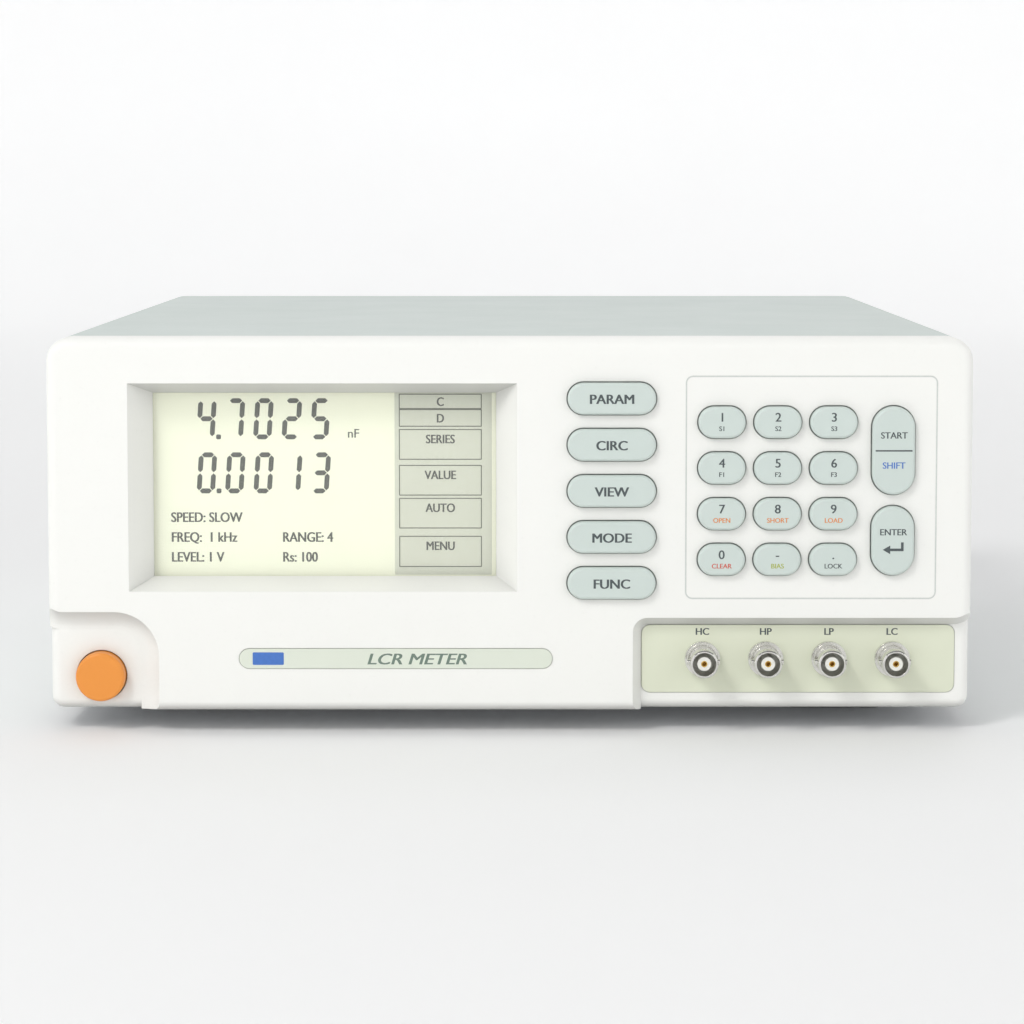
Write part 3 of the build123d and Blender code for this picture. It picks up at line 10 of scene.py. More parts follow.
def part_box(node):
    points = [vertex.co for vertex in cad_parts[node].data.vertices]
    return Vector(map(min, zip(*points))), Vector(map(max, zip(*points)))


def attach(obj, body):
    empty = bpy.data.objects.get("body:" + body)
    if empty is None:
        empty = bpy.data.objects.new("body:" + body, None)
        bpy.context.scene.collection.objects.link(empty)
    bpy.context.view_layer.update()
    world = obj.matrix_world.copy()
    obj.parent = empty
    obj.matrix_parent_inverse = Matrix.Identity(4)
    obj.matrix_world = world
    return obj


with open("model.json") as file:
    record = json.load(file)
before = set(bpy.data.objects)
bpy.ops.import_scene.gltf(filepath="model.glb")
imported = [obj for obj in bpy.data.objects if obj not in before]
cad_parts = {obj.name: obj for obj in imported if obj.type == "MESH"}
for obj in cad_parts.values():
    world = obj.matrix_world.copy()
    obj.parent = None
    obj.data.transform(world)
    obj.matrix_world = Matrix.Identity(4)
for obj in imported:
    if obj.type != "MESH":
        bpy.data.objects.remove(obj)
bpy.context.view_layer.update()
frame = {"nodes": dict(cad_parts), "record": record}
nodes = frame["nodes"]
MM = 0.001
QUARTER_TURN = math.pi / 2


# ------------------------------------------------------------------ colours and shader nodes
SRGB_KNEE, SRGB_SLOPE, SRGB_OFFSET, SRGB_GAMMA = 0.04045, 12.92, 0.055, 2.4
MIX_FACTOR, MIX_FIRST, MIX_SECOND, MIX_RESULT = 0, 6, 7, 2     # sockets of a colour mix
EDGE_SAMPLES = 4
EDGE_FLAT, EDGE_SHARP = 0.995, 0.86     # how alike the plain and the softened normal are off and on an edge
NOISE_LOW, NOISE_HIGH = 0.3, 0.7        # a noise seldom leaves this range
SHADE_REACH, SHADE_SAMPLES = 12.0 * MM, 6
HOLLOW, OPEN = 0.25, 0.98               # ambient light in a deep hollow and on an open face
DOWNWARD, UPRIGHT = -1.0, -0.15         # upward share of the normal of such faces


def srgb(red, green, blue):
    """A screen colour, 0 to 255 each, as the linear colour that shaders take."""
    linear = []
    for value in (red, green, blue):
        share = value / 255
        if share <= SRGB_KNEE:
            linear.append(share / SRGB_SLOPE)
        else:
            linear.append(((share + SRGB_OFFSET) / (1 + SRGB_OFFSET)) ** SRGB_GAMMA)
    return (*linear, 1.0)


def scaled(colour, factor):
    return (*[min(channel * factor, 1.0) for channel in colour[:3]], 1.0)


class Shader:
    """One material and short ways to add nodes to it."""

    def __init__(self, name):
        self.material = bpy.data.materials.new(name)
        self.material.use_nodes = True
        self.tree = self.material.node_tree
        self.bsdf = self.tree.nodes["Principled BSDF"]
        self.place = self.add("ShaderNodeTexCoord").outputs["Object"]

    def feed(self, socket, value):
        """Link a node's output to a socket, or write a plain value on the socket itself."""
        if isinstance(value, bpy.types.NodeSocket):
            self.tree.links.new(value, socket)
        else:
            socket.default_value = value

    def add(self, kind, inputs=(), **settings):
        node = self.tree.nodes.new(kind)
        for key, value in settings.items():
            setattr(node, key, value)
        for key, value in dict(inputs).items():
            self.feed(node.inputs[key], value)
        return node

    def set(self, key, value):
        self.feed(self.bsdf.inputs[key], value)

    def stretched(self, scale):
        return self.add("ShaderNodeMapping", {"Vector": self.place, "Scale": scale}).outputs["Vector"]

    def noise(self, scale, detail=3.0, roughness=0.55, place=None):
        inputs = {"Vector": place or self.place, "Scale": scale, "Detail": detail, "Roughness": roughness}
        return self.add("ShaderNodeTexNoise", inputs).outputs["Fac"]

    def waves(self, scale, direction, distortion=0.0):
        inputs = {"Vector": self.place, "Scale": scale, "Distortion": distortion}
        return self.add("ShaderNodeTexWave", inputs, bands_direction=direction).outputs["Fac"]

    def cells(self, scale, feature="F1"):
        inputs = {"Vector": self.place, "Scale": scale}
        return self.add("ShaderNodeTexVoronoi", inputs, feature=feature).outputs["Distance"]

    def span(self, value, low, high, to_low, to_high):
        inputs = {"Value": value, "From Min": low, "From Max": high, "To Min": to_low, "To Max": to_high}
        return self.add("ShaderNodeMapRange", inputs).outputs["Result"]

    def spread(self, pattern, to_low, to_high):
        """A noise stretched over a range of values."""
        return self.span(pattern, NOISE_LOW, NOISE_HIGH, to_low, to_high)

    def patches(self, pattern, start, full, share):
        """Nothing where the pattern is under start, and this share where it is over full."""
        return self.span(pattern, start, full, 0.0, share)

    def blend(self, factor, first, second):
        inputs = {MIX_FACTOR: factor, MIX_FIRST: first, MIX_SECOND: second}
        return self.add("ShaderNodeMix", inputs, data_type="RGBA").outputs[MIX_RESULT]

    def maths(self, operation, first, second):
        return self.add("ShaderNodeMath", {0: first, 1: second}, operation=operation).outputs[0]

    def bump(self, height, distance, strength=1.0, normal=None):
        inputs = {"Height": height, "Distance": distance, "Strength": strength}
        if normal is not None:
            inputs["Normal"] = normal
        return self.add("ShaderNodeBump", inputs).outputs["Normal"]

    def soft_edges(self, radius):
        """The normal with its edges rounded, and a mask that is 1 along them."""
        softened = self.add("ShaderNodeBevel", {"Radius": radius}, samples=EDGE_SAMPLES).outputs["Normal"]
        plain = self.add("ShaderNodeNewGeometry").outputs["Normal"]
        compared = self.add("ShaderNodeVectorMath", {0: softened, 1: plain}, operation="DOT_PRODUCT")
        return softened, self.span(compared.outputs["Value"], EDGE_FLAT, EDGE_SHARP, 0.0, 1.0)

    def shade(self, painted_shade):
        """Painted shade: 1 in the open, and less by up to the given share in hollows and on faces that look
        down.
        """
        inputs = {"Distance": SHADE_REACH}
        ambient = self.add("ShaderNodeAmbientOcclusion", inputs, samples=SHADE_SAMPLES).outputs["AO"]
        plain = self.add("ShaderNodeNewGeometry").outputs["Normal"]
        upward = self.add("ShaderNodeSeparateXYZ", {0: plain}).outputs["Z"]
        in_hollows = self.span(ambient, HOLLOW, OPEN, 1.0 - painted_shade, 1.0)
        below = self.span(upward, DOWNWARD, UPRIGHT, 1.0 - painted_shade, 1.0)
        return self.maths("MULTIPLY", in_hollows, below)


# ------------------------------------------------------------------ kinds of material
# A pattern's scale is in cells per metre. The depth of a grain and the radius of an edge are in millimetres.
def moulded(name, colour, rough, grain, depth, mottle, edge, wear, lighter, painted_shade=0.0):
    """Moulded plastic, rubber or paint: even colour with faint clouding, a fine grain, rubbed edges, and
    painted shade in hollows and on faces that look down where a share of it is given.

    Mottle, wear and the painted shade are shares, and lighter is the tone of the rubbed edges.
    """
    shader = Shader(name)
    cloud = shader.noise(scale=22.0, detail=4.0)
    base = shader.blend(cloud, scaled(colour, 1 - mottle), scaled(colour, 1 + mottle))
    specks = shader.patches(shader.noise(scale=grain * 0.45, detail=2.0), start=0.62, full=0.78, share=0.10)
    base = shader.blend(specks, base, scaled(colour, 0.72))
    softened, mask = shader.soft_edges(edge * MM)
    worn = shader.patches(shader.noise(scale=160.0, detail=5.0), start=0.42, full=0.66, share=wear)
    base = shader.blend(shader.maths("MULTIPLY", mask, worn), base, scaled(colour, lighter))
    # painted shade: the colour darkens towards a dim tone in hollows and on faces that look down
    if painted_shade:
        base = shader.blend(shader.shade(painted_shade), scaled(colour, 0.45), base)
    shader.set("Base Color", base)
    handled = shader.noise(scale=34.0, detail=6.0, roughness=0.6)
    shader.set("Roughness", shader.spread(handled, rough - 0.06, rough + 0.07))
    fine = shader.noise(scale=grain, detail=3.0, roughness=0.6)
    shader.set("Normal", shader.bump(fine, depth * MM, strength=0.6, normal=softened))
    return shader.material


def metal(name, colour, rough, grain, depth, tarnish, edge=0.2):
    """Bare or plated metal: directional fine lines, uneven tarnish and a painted highlight along every edge.
    """
    shader = Shader(name)
    lines = shader.noise(scale=40.0, detail=5.0, roughness=0.6, place=shader.stretched(grain))
    stain = shader.patches(shader.noise(scale=70.0, detail=5.0), start=0.35, full=0.75, share=1.0)
    base = shader.blend(stain, scaled(colour, 1 + tarnish / 2), scaled(colour, 1 - tarnish))
    softened, mask = shader.soft_edges(edge * MM)
    # painted highlight: every edge is lighter than the rest of the face
    shader.set("Base Color", shader.blend(mask, base, scaled(colour, 1.2)))
    shader.set("Metallic", 1.0)
    shader.set("Roughness", shader.spread(lines, rough - 0.07, rough + 0.09))
    shader.set("Normal", shader.bump(lines, depth * MM, strength=0.5, normal=softened))
    return shader.material


def circuit_board(name):
    """Green solder mask over tracks, with tinned pads."""
    track_cells, pad_cells = 260.0, 420.0
    shader = Shader(name)
    tracks = shader.span(shader.cells(track_cells, feature="DISTANCE_TO_EDGE"), 0.04, 0.08, 1.0, 0.0)
    base = shader.blend(tracks, srgb(22, 92, 48), srgb(44, 128, 70))
    pads = shader.span(shader.cells(pad_cells), 0.16, 0.2, 1.0, 0.0)
    shader.set("Base Color", shader.blend(pads, base, srgb(190, 190, 180)))
    shader.set("Roughness", shader.spread(shader.noise(scale=80.0), 0.28, 0.42))
    shader.set("Normal", shader.bump(tracks, 0.05 * MM))
    return shader.material


def banded(name, light, dark, scale, direction, rough, metallic=0.0):
    """Stacked layers or windings, as narrow bands of two tones."""
    shader = Shader(name)
    bands = shader.waves(scale, direction, distortion=0.15)
    base = shader.blend(bands, dark, light)
    dirt = shader.patches(shader.noise(scale=90.0), start=0.4, full=0.7, share=0.25)
    shader.set("Base Color", shader.blend(dirt, base, scaled(dark, 0.8)))
    shader.set("Metallic", metallic)
    shader.set("Roughness", shader.spread(shader.noise(scale=120.0), rough - 0.08, rough + 0.08))
    shader.set("Normal", shader.bump(bands, 0.15 * MM))
    return shader.material


def ink(name, colour, rough=0.55, patchy=0.12):
    """Printing ink: nearly even, a little thinner in places."""
    shader = Shader(name)
    thin = shader.patches(shader.noise(scale=700.0, detail=3.0), start=0.35, full=0.75, share=patchy)
    shader.set("Base Color", shader.blend(thin, colour, scaled(colour, 1.8)))
    shader.set("Roughness", shader.spread(shader.noise(scale=300.0), rough - 0.05, rough + 0.08))
    return shader.material


def film(name, colour, rough=0.42):
    """Printed polycarbonate film: satin face with a very fine embossed texture and a painted highlight along
    its edges.
    """
    shader = Shader(name)
    base = shader.blend(shader.noise(scale=26.0, detail=3.0), scaled(colour, 0.97), scaled(colour, 1.03))
    softened, mask = shader.soft_edges(0.15 * MM)
    # painted highlight: the edges are lighter than the face
    shader.set("Base Color", shader.blend(mask, base, scaled(colour, 1.12)))
    shader.set("Roughness", shader.spread(shader.noise(scale=60.0, detail=5.0), rough - 0.05, rough + 0.08))
    shader.set("Normal", shader.bump(shader.cells(3200.0), 0.01 * MM, strength=0.5, normal=softened))
    return shader.material


def clear_plastic(name):
    """Clear acrylic with a faint haze and fine wiping marks."""
    shader = Shader(name)
    marks = shader.noise(scale=60.0, detail=6.0, roughness=0.65, place=shader.stretched((9.0, 9.0, 1.2)))
    shader.set("Base Color", shader.blend(marks, srgb(236, 240, 232), srgb(250, 252, 248)))
    shader.set("Roughness", shader.span(marks, 0.35, 0.7, 0.04, 0.12))
    shader.set("IOR", 1.49)
    shader.set("Alpha", 0.09)
    return shader.material


def display_glass(name):
    """Reflective display with its dot grid and a weak backlight."""
    dots, gap = 320.0, 0.14
    shader = Shader(name)
    columns = shader.span(shader.waves(dots, "X"), 0.0, gap, 1.0, 0.0)
    rows = shader.span(shader.waves(dots, "Z"), 0.0, gap, 1.0, 0.0)
    grid = shader.maths("MAXIMUM", columns, rows)
    tone = shader.blend(shader.noise(scale=9.0, detail=2.0), srgb(238, 240, 214), srgb(244, 246, 226))
    tone = shader.blend(shader.maths("MULTIPLY", grid, 0.10), tone, srgb(176, 182, 150))
    shader.set("Base Color", tone)
    shader.set("Emission Color", tone)
    shader.set("Emission Strength", 0.22)
    shader.set("Roughness", shader.spread(shader.noise(scale=40.0), 0.30, 0.40))
    return shader.material


# ------------------------------------------------------------------ the materials
COVER = srgb(205, 214, 210)
MOULDED = {
    # only the bezel gets painted shade, in its hollows and on its faces that look down
    "bezel_plastic": dict(colour=srgb(247, 247, 243), rough=0.46, grain=1700.0, depth=0.018, mottle=0.012,
                          edge=0.35, wear=0.10, lighter=1.02, painted_shade=0.55),
    "key_plastic": dict(colour=srgb(208, 219, 214), rough=0.42, grain=2400.0, depth=0.012, mottle=0.02,
                        edge=0.35, wear=0.25, lighter=1.15),
    "button_orange": dict(colour=srgb(240, 152, 62), rough=0.38, grain=2200.0, depth=0.012, mottle=0.03,
                          edge=0.4, wear=0.3, lighter=1.25),
    "cover_paint": dict(colour=COVER, rough=0.50, grain=900.0, depth=0.05, mottle=0.02,
                        edge=0.3, wear=0.3, lighter=1.15),
    "panel_paint": dict(colour=COVER, rough=0.52, grain=900.0, depth=0.05, mottle=0.025,
                        edge=0.3, wear=0.3, lighter=1.15),
    "black_plastic": dict(colour=srgb(38, 39, 41), rough=0.5, grain=1400.0, depth=0.03, mottle=0.10,
                          edge=0.3, wear=0.5, lighter=2.2),
    "leg_plastic": dict(colour=srgb(92, 96, 98), rough=0.5, grain=1400.0, depth=0.03, mottle=0.06,
                        edge=0.3, wear=0.5, lighter=1.6),
    "foot_rubber": dict(colour=srgb(52, 53, 55), rough=0.75, grain=700.0, depth=0.06, mottle=0.12,
                        edge=0.5, wear=0.5, lighter=1.8),
    "grey_rubber": dict(colour=srgb(150, 154, 156), rough=0.7, grain=800.0, depth=0.05, mottle=0.06,
                        edge=0.4, wear=0.2, lighter=1.2),
    "white_insulator": dict(colour=srgb(240, 240, 232), rough=0.35, grain=900.0, depth=0.02, mottle=0.02,
                            edge=0.2, wear=0.1, lighter=1.05),
    "capacitor_sleeve": dict(colour=srgb(34, 40, 84), rough=0.3, grain=500.0, depth=0.03, mottle=0.08,
                             edge=0.4, wear=0.5, lighter=2.0),
    "wire_blue": dict(colour=srgb(36, 70, 160), rough=0.4, grain=900.0, depth=0.02, mottle=0.05,
                      edge=0.2, wear=0.2, lighter=1.4),
}
METALS = {
    "zinc_steel": dict(colour=srgb(186, 190, 194), rough=0.38, grain=(3.0, 40.0, 40.0), depth=0.01,
                       tarnish=0.2),
    "tinned_steel": dict(colour=srgb(200, 200, 196), rough=0.3, grain=(40.0, 3.0, 40.0), depth=0.01,
                         tarnish=0.15),
    "nickel_plate": dict(colour=srgb(222, 221, 216), rough=0.2, grain=(30.0, 30.0, 30.0), depth=0.004,
                         tarnish=0.08, edge=0.15),
    "gold_plate": dict(colour=srgb(214, 176, 96), rough=0.25, grain=(30.0, 30.0, 30.0), depth=0.006,
                       tarnish=0.15, edge=0.15),
    "bare_aluminium": dict(colour=srgb(214, 216, 218), rough=0.35, grain=(40.0, 40.0, 2.0), depth=0.015,
                           tarnish=0.12),
}
BANDED = {
    "core_steel": dict(light=srgb(104, 102, 100), dark=srgb(48, 46, 46), scale=330.0, direction="Y",
                       rough=0.45, metallic=0.8),
    "coil_tape": dict(light=srgb(226, 186, 84), dark=srgb(196, 150, 58), scale=40.0, direction="Z",
                      rough=0.35),
}
FILMS = {"plate_film": srgb(227, 231, 209), "strip_film": srgb(226, 232, 218)}
INKS = {
    "key_ink": dict(colour=srgb(78, 86, 88)),
    "orange_ink": dict(colour=srgb(226, 140, 70)),
    "red_ink": dict(colour=srgb(206, 84, 60)),
    "green_ink": dict(colour=srgb(168, 178, 60)),
    "blue_ink": dict(colour=srgb(72, 118, 196)),
    "strip_ink": dict(colour=srgb(112, 130, 118)),
    "line_ink": dict(colour=srgb(206, 210, 206)),
    "lcd_ink": dict(colour=srgb(40, 43, 32), rough=0.4, patchy=0.06),
    "lcd_line_ink": dict(colour=srgb(88, 92, 74), rough=0.4),
    "menu_tint": dict(colour=srgb(222, 225, 206), rough=0.4),
    # painted shade that stands in for the inside of the screws' cross recesses
    "painted_recess_shade": dict(colour=srgb(46, 46, 48), rough=0.5),
}

materials = {name: moulded(name, **look) for name, look in MOULDED.items()}
materials.update({name: metal(name, **look) for name, look in METALS.items()})
materials.update({name: banded(name, **look) for name, look in BANDED.items()})
materials.update({name: film(name, colour) for name, colour in FILMS.items()})
materials["clear_window"] = clear_plastic("clear_window")
materials["lcd_screen"] = display_glass("lcd_screen")
materials["circuit_board"] = circuit_board("circuit_board")
inks = {name: ink(name, **look) for name, look in INKS.items()}

slot_of = {part["node"]: part["material_slot"] for part in frame["record"]["subparts"]}
for node_name, node in nodes.items():
    for material_slot in node.material_slots:
        material_slot.material = materials[slot_of[node_name]]


# ------------------------------------------------------------------ flat pieces and lettering
CAP_HEIGHT = 0.73          # of the built-in font's size
CURVE_STEPS = 4            # of each bend in a letter
PRINT_STEP = 0.004 * MM    # between prints that thicken a letter, so that none lies in another
INK = 0.03 * MM            # thickness of printing
FACING_FRONT = Matrix.Rotation(QUARTER_TURN, 4, "X")


def piece(name, mesh, body, material):
    """A mesh in the row frame becomes a piece that rides on a body."""
    shape = bpy.data.objects.new(name, mesh)
    bpy.context.scene.collection.objects.link(shape)
    mesh.materials.clear()
    mesh.materials.append(material)
    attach(shape, body)
    return shape


def merged(name, meshes):
    whole = bmesh.new()
    for mesh in meshes:
        whole.from_mesh(mesh)
    joined = bpy.data.meshes.new(name)
    whole.to_mesh(joined)
    whole.free()
    return joined


def words(text, height, x, y, z, align="CENTER", slant=0.0, weight=0.0, width=1.0):
    """Flat letters facing the front, their middle line at z and their back on the plane y.

    They are printed three times, side by side by the weight, which thickens the stems.
    """
    curve = bpy.data.curves.new(text, "FONT")
    curve.body = text
    curve.size = height / CAP_HEIGHT
    curve.align_x = align
    curve.shear = slant
    curve.extrude = INK / 2
    curve.resolution_u = CURVE_STEPS
    holder = bpy.data.objects.new(text, curve)
    bpy.context.scene.collection.objects.link(holder)
    bpy.context.view_layer.update()
    mesh = bpy.data.meshes.new_from_object(holder.evaluated_get(bpy.context.evaluated_depsgraph_get()))
    bpy.data.objects.remove(holder)
    mesh.transform(Matrix.Diagonal((width, 1.0, 1.0, 1.0)))
    mesh.transform(FACING_FRONT)
    mesh.transform(Matrix.Translation((x, y - INK / 2, z - height / 2)))
    prints = []
    for index, side in enumerate((-1, 0, 1)):
        copy = mesh.copy()
        copy.transform(Matrix.Translation((side * weight, -index * PRINT_STEP, 0.0)))
        prints.append(copy)
    return merged(text, prints)


def slab(outline, y, thickness=INK, hole=None):
    """A flat plate with this outline of (x, z) points, its back on the plane y, with an optional hole."""
    shape = bmesh.new()
    loops = [outline] + ([hole] if hole else [])
    rings = []
    for loop in loops:
        back = [shape.verts.new((x, y, z)) for x, z in loop]
        face = [shape.verts.new((x, y - thickness, z)) for x, z in loop]
        rings.append((back, face))
        for index in range(len(loop)):
            following = (index + 1) % len(loop)
            shape.faces.new((back[index], back[following], face[following], face[index]))
    if hole:
        for side in (0, 1):
            outer, inner = rings[0][side], rings[1][side]
            for index in range(len(outer)):
                following = (index + 1) % len(outer)
                shape.faces.new((outer[index], outer[following], inner[following], inner[index]))
    else:
        shape.faces.new(rings[0][0])
        shape.faces.new(rings[0][1])
    bmesh.ops.recalc_face_normals(shape, faces=shape.faces)
    mesh = bpy.data.meshes.new("slab")
    shape.to_mesh(mesh)
    shape.free()
    return mesh


def rounded(x, z, width, height, radius, steps=6):
    """Outline of a rounded rectangle round a centre."""
    points = []
    for quarter in range(4):
        corner_x = x + (1 if quarter in (0, 3) else -1) * (width / 2 - radius)
        corner_z = z + (1 if quarter in (0, 1) else -1) * (height / 2 - radius)
        for step in range(steps + 1):
            angle = (quarter + step / steps) * QUARTER_TURN
            points.append((corner_x + radius * math.cos(angle), corner_z + radius * math.sin(angle)))
    return points


def frame_line(x, z, width, height, radius, line, y, thickness=INK):
    """A thin rounded-rectangle line."""
    inner_radius = max(radius - line, 0.1 * MM)
    hole = rounded(x, z, width - 2 * line, height - 2 * line, inner_radius)
    return slab(rounded(x, z, width, height, radius), y, thickness, hole)


def middle(node_name):
    low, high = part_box(node_name)
    return (low + high) / 2


# ------------------------------------------------------------------ key legends
FUNCTION_KEYS = {
    "parameter": "PARAM", "circuit": "CIRC", "display": "VIEW", "mode": "MODE", "function": "FUNC",
}
SIGNS = {"minus": "-", "point": "."}
SECOND_LEGENDS = {
    "1": ("S1", "key_ink"), "2": ("S2", "key_ink"), "3": ("S3", "key_ink"),
    "4": ("F1", "key_ink"), "5": ("F2", "key_ink"), "6": ("F3", "key_ink"),
    "7": ("OPEN", "orange_ink"), "8": ("SHORT", "orange_ink"), "9": ("LOAD", "orange_ink"),
    "0": ("CLEAR", "red_ink"), "minus": ("BIAS", "green_ink"), "point": ("LOCK", "key_ink"),
}
FUNCTION_HEIGHT, FUNCTION_WEIGHT, FUNCTION_WIDTH = 3.4 * MM, 0.16 * MM, 1.04
SIGN_HEIGHT, SIGN_WEIGHT = 3.2 * MM, 0.08 * MM
NOTE_HEIGHT, NOTE_WEIGHT = 1.7 * MM, 0.05 * MM
SIGN_RISE = 2.0 * MM       # the note is as far below the key's middle as the sign is above it
TALL_HEIGHT, TALL_WEIGHT, SHIFT_WEIGHT = 2.3 * MM, 0.08 * MM, 0.06 * MM
START_RISE, SHIFT_RISE, ENTER_RISE = 5.4 * MM, -5.0 * MM, 3.2 * MM
KEY_FLANGE = 1.3 * MM      # the key's foot is wider than its cap by this much on each side
DIVIDER_INSET, DIVIDER_LINE, DIVIDER_RADIUS = 1.0 * MM, 0.5 * MM, 0.2 * MM
ARROW_HALF, ARROW_DROP = 3.6 * MM, 3.0 * MM
ARROW_HEAD, ARROW_BARB = 2.6 * MM, 1.5 * MM
ARROW_TAIL, ARROW_LINE = 2.6 * MM, 0.9 * MM


def on_key(key, label, mesh, material):
    piece(f"{key}_{label}", mesh, key + "_body", material)


def key_words(key, label, text, material, height, weight, rise=0.0, width=1.0):
    """Letters on a key's face, their middle line this far above the key's middle."""
    centre = middle("key_" + key)
    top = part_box("key_" + key)[0].y
    letters = words(text, height, centre.x, top, centre.z + rise, weight=weight, width=width)
    on_key("key_" + key, label, letters, material)


def arrow_outline(x, z):
    """An arrow to the left whose tail turns up, as on a return key."""
    left, right = x - ARROW_HALF, x + ARROW_HALF
    neck, bend = left + ARROW_HEAD, right - ARROW_LINE
    above, below = z + ARROW_LINE / 2, z - ARROW_LINE / 2
    return [
        (left, z), (neck, z + ARROW_BARB), (neck, above), (bend, above), (bend, z + ARROW_TAIL),
        (right, z + ARROW_TAIL), (right, below), (neck, below), (neck, z - ARROW_BARB),
    ]


for key, text in FUNCTION_KEYS.items():
    key_words(key, "legend", text, inks["key_ink"], FUNCTION_HEIGHT, FUNCTION_WEIGHT, width=FUNCTION_WIDTH)
for key, (note, note_ink) in SECOND_LEGENDS.items():
    sign = SIGNS.get(key, key)
    key_words(key, "legend", sign, inks["key_ink"], SIGN_HEIGHT, SIGN_WEIGHT, SIGN_RISE)
    key_words(key, "second_legend", note, inks[note_ink], NOTE_HEIGHT, NOTE_WEIGHT, -SIGN_RISE)
key_words("start", "legend", "START", inks["key_ink"], TALL_HEIGHT, TALL_WEIGHT, START_RISE)
key_words("start", "second_legend", "SHIFT", inks["blue_ink"], TALL_HEIGHT, SHIFT_WEIGHT, SHIFT_RISE)
start_low, start_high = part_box("key_start")
divider_width = start_high.x - start_low.x - 2 * (KEY_FLANGE + DIVIDER_INSET)
start_middle = middle("key_start")
divider = rounded(start_middle.x, start_middle.z, divider_width, DIVIDER_LINE, DIVIDER_RADIUS)
on_key("key_start", "divider", slab(divider, start_low.y), inks["key_ink"])

key_words("enter", "legend", "ENTER", inks["key_ink"], TALL_HEIGHT, TALL_WEIGHT, ENTER_RISE)
enter_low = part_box("key_enter")[0]
enter_middle = middle("key_enter")
arrow = arrow_outline(enter_middle.x, enter_middle.z - ARROW_DROP)
on_key("key_enter", "arrow", slab(arrow, enter_low.y), inks["key_ink"])


# ------------------------------------------------------------------ printing on the fascia
TERMINALS = ("HC", "HP", "LP", "LC")
OUTLINE_LEFT, OUTLINE_RIGHT = 3.0 * MM, 6.6 * MM          # past the keys
OUTLINE_BELOW, OUTLINE_ABOVE = 7.2 * MM, 9.2 * MM
OUTLINE_RADIUS, OUTLINE_LINE, OUTLINE_INK = 2.5 * MM, 0.45 * MM, 0.05 * MM
LABEL_HEIGHT, LABEL_WEIGHT, LABEL_DROP = 2.5 * MM, 0.1 * MM, 2.2 * MM
BLOCK_PLACE, BLOCK_WIDTH, BLOCK_HEIGHT, BLOCK_RADIUS = 10.0 * MM, 10.8 * MM, 4.4 * MM, 0.4 * MM
TITLE_PLACE, TITLE_HEIGHT = 44.0 * MM, 4.0 * MM
TITLE_LOOK = dict(slant=0.25, weight=0.16 * MM, width=1.25)

face_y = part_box("front_bezel")[0].y
outline_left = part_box("key_1")[0].x - OUTLINE_LEFT
outline_right = start_high.x + OUTLINE_RIGHT
outline_low = enter_low.z - OUTLINE_BELOW
outline_high = start_high.z + OUTLINE_ABOVE
outline = frame_line(
    (outline_left + outline_right) / 2, (outline_low + outline_high) / 2,
    outline_right - outline_left, outline_high - outline_low,
    OUTLINE_RADIUS, OUTLINE_LINE, face_y, OUTLINE_INK,
)
piece("keypad_outline", outline, "case", inks["line_ink"])

plate_low, plate_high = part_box("terminal_plate")
bnc_low, bnc_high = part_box("bnc_washers")
bnc_radius = (bnc_high.z - bnc_low.z) / 2
bnc_pitch = (bnc_high.x - bnc_low.x - 2 * bnc_radius) / (len(TERMINALS) - 1)
labels = []
for index, label in enumerate(TERMINALS):
    label_x = bnc_low.x + bnc_radius + index * bnc_pitch
    label_z = plate_high.z - LABEL_DROP
    labels.append(words(label, LABEL_HEIGHT, label_x, plate_low.y, label_z, weight=LABEL_WEIGHT))
piece("terminal_labels", merged("terminal_labels", labels), "case", inks["key_ink"])

strip_low, strip_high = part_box("name_strip")
strip_z = (strip_low.z + strip_high.z) / 2
block = rounded(strip_low.x + BLOCK_PLACE, strip_z, BLOCK_WIDTH, BLOCK_HEIGHT, BLOCK_RADIUS)
piece("strip_block", slab(block, strip_low.y), "case", inks["blue_ink"])
title_x = strip_low.x + TITLE_PLACE
title = words("LCR METER", TITLE_HEIGHT, title_x, strip_low.y, strip_z, "LEFT", **TITLE_LOOK)
piece("strip_lettering", title, "case", inks["strip_ink"])


# ------------------------------------------------------------------ what the display shows
SHOWN = 3.0 * MM           # the window is hidden this far round its edge
READINGS = (("4.7025", 16.6 * MM), ("0.0013", 35.6 * MM))        # and how far under the view's top they stand
READING_LEFT = 14.6 * MM
DIGIT_WIDTH, DIGIT_HEIGHT, DIGIT_PITCH = 6.4 * MM, 14.4 * MM, 9.95 * MM
DIGIT_SLANT = 0.07
BAR_THICK = 1.7 * MM
BAR_GAP = 0.12             # of the bar's thickness, at each end of a bar
DOT_PLACE, DOT_ROUNDING = 0.42, 0.3     # of the room between digits, and of the bar's thickness
SEGMENTS = {
    "0": "abcdef", "1": "bc", "2": "abged", "3": "abgcd", "4": "fgbc",
    "5": "afgcd", "6": "afgedc", "7": "abc", "8": "abcdefg", "9": "abcdfg",
}
UNIT, UNIT_HEIGHT, UNIT_WEIGHT = "nF", 3.2 * MM, 0.05 * MM
UNIT_PLACE, UNIT_DROP = 55.0 * MM, 14.4 * MM
SETTINGS = (("SPEED: SLOW",), ("FREQ:  1 kHz", "RANGE: 4"), ("LEVEL: 1 V", "Rs: 100"))
SETTING_LEFT, SETTING_COLUMN = 5.6 * MM, 39.0 * MM
SETTING_RISE, SETTING_PITCH = 20.4 * MM, 7.0 * MM
SETTING_HEIGHT, SETTING_LOOK = 3.6 * MM, dict(weight=0.14 * MM, width=0.84)
MENU = (          # each field's text, its place under the view's top and its height, in millimetres
    ("C", 0.6, 5.4), ("D", 6.0, 6.2), ("SERIES", 13.0, 10.8), ("VALUE", 25.6, 10.8), ("AUTO", 37.2, 10.8),
    ("MENU", 50.6, 11.0),
)
MENU_LEFT, MENU_RIGHT = 34.0 * MM, 5.0 * MM               # from the view's right edge
MENU_RADIUS, MENU_LINE = 0.3 * MM, 0.35 * MM
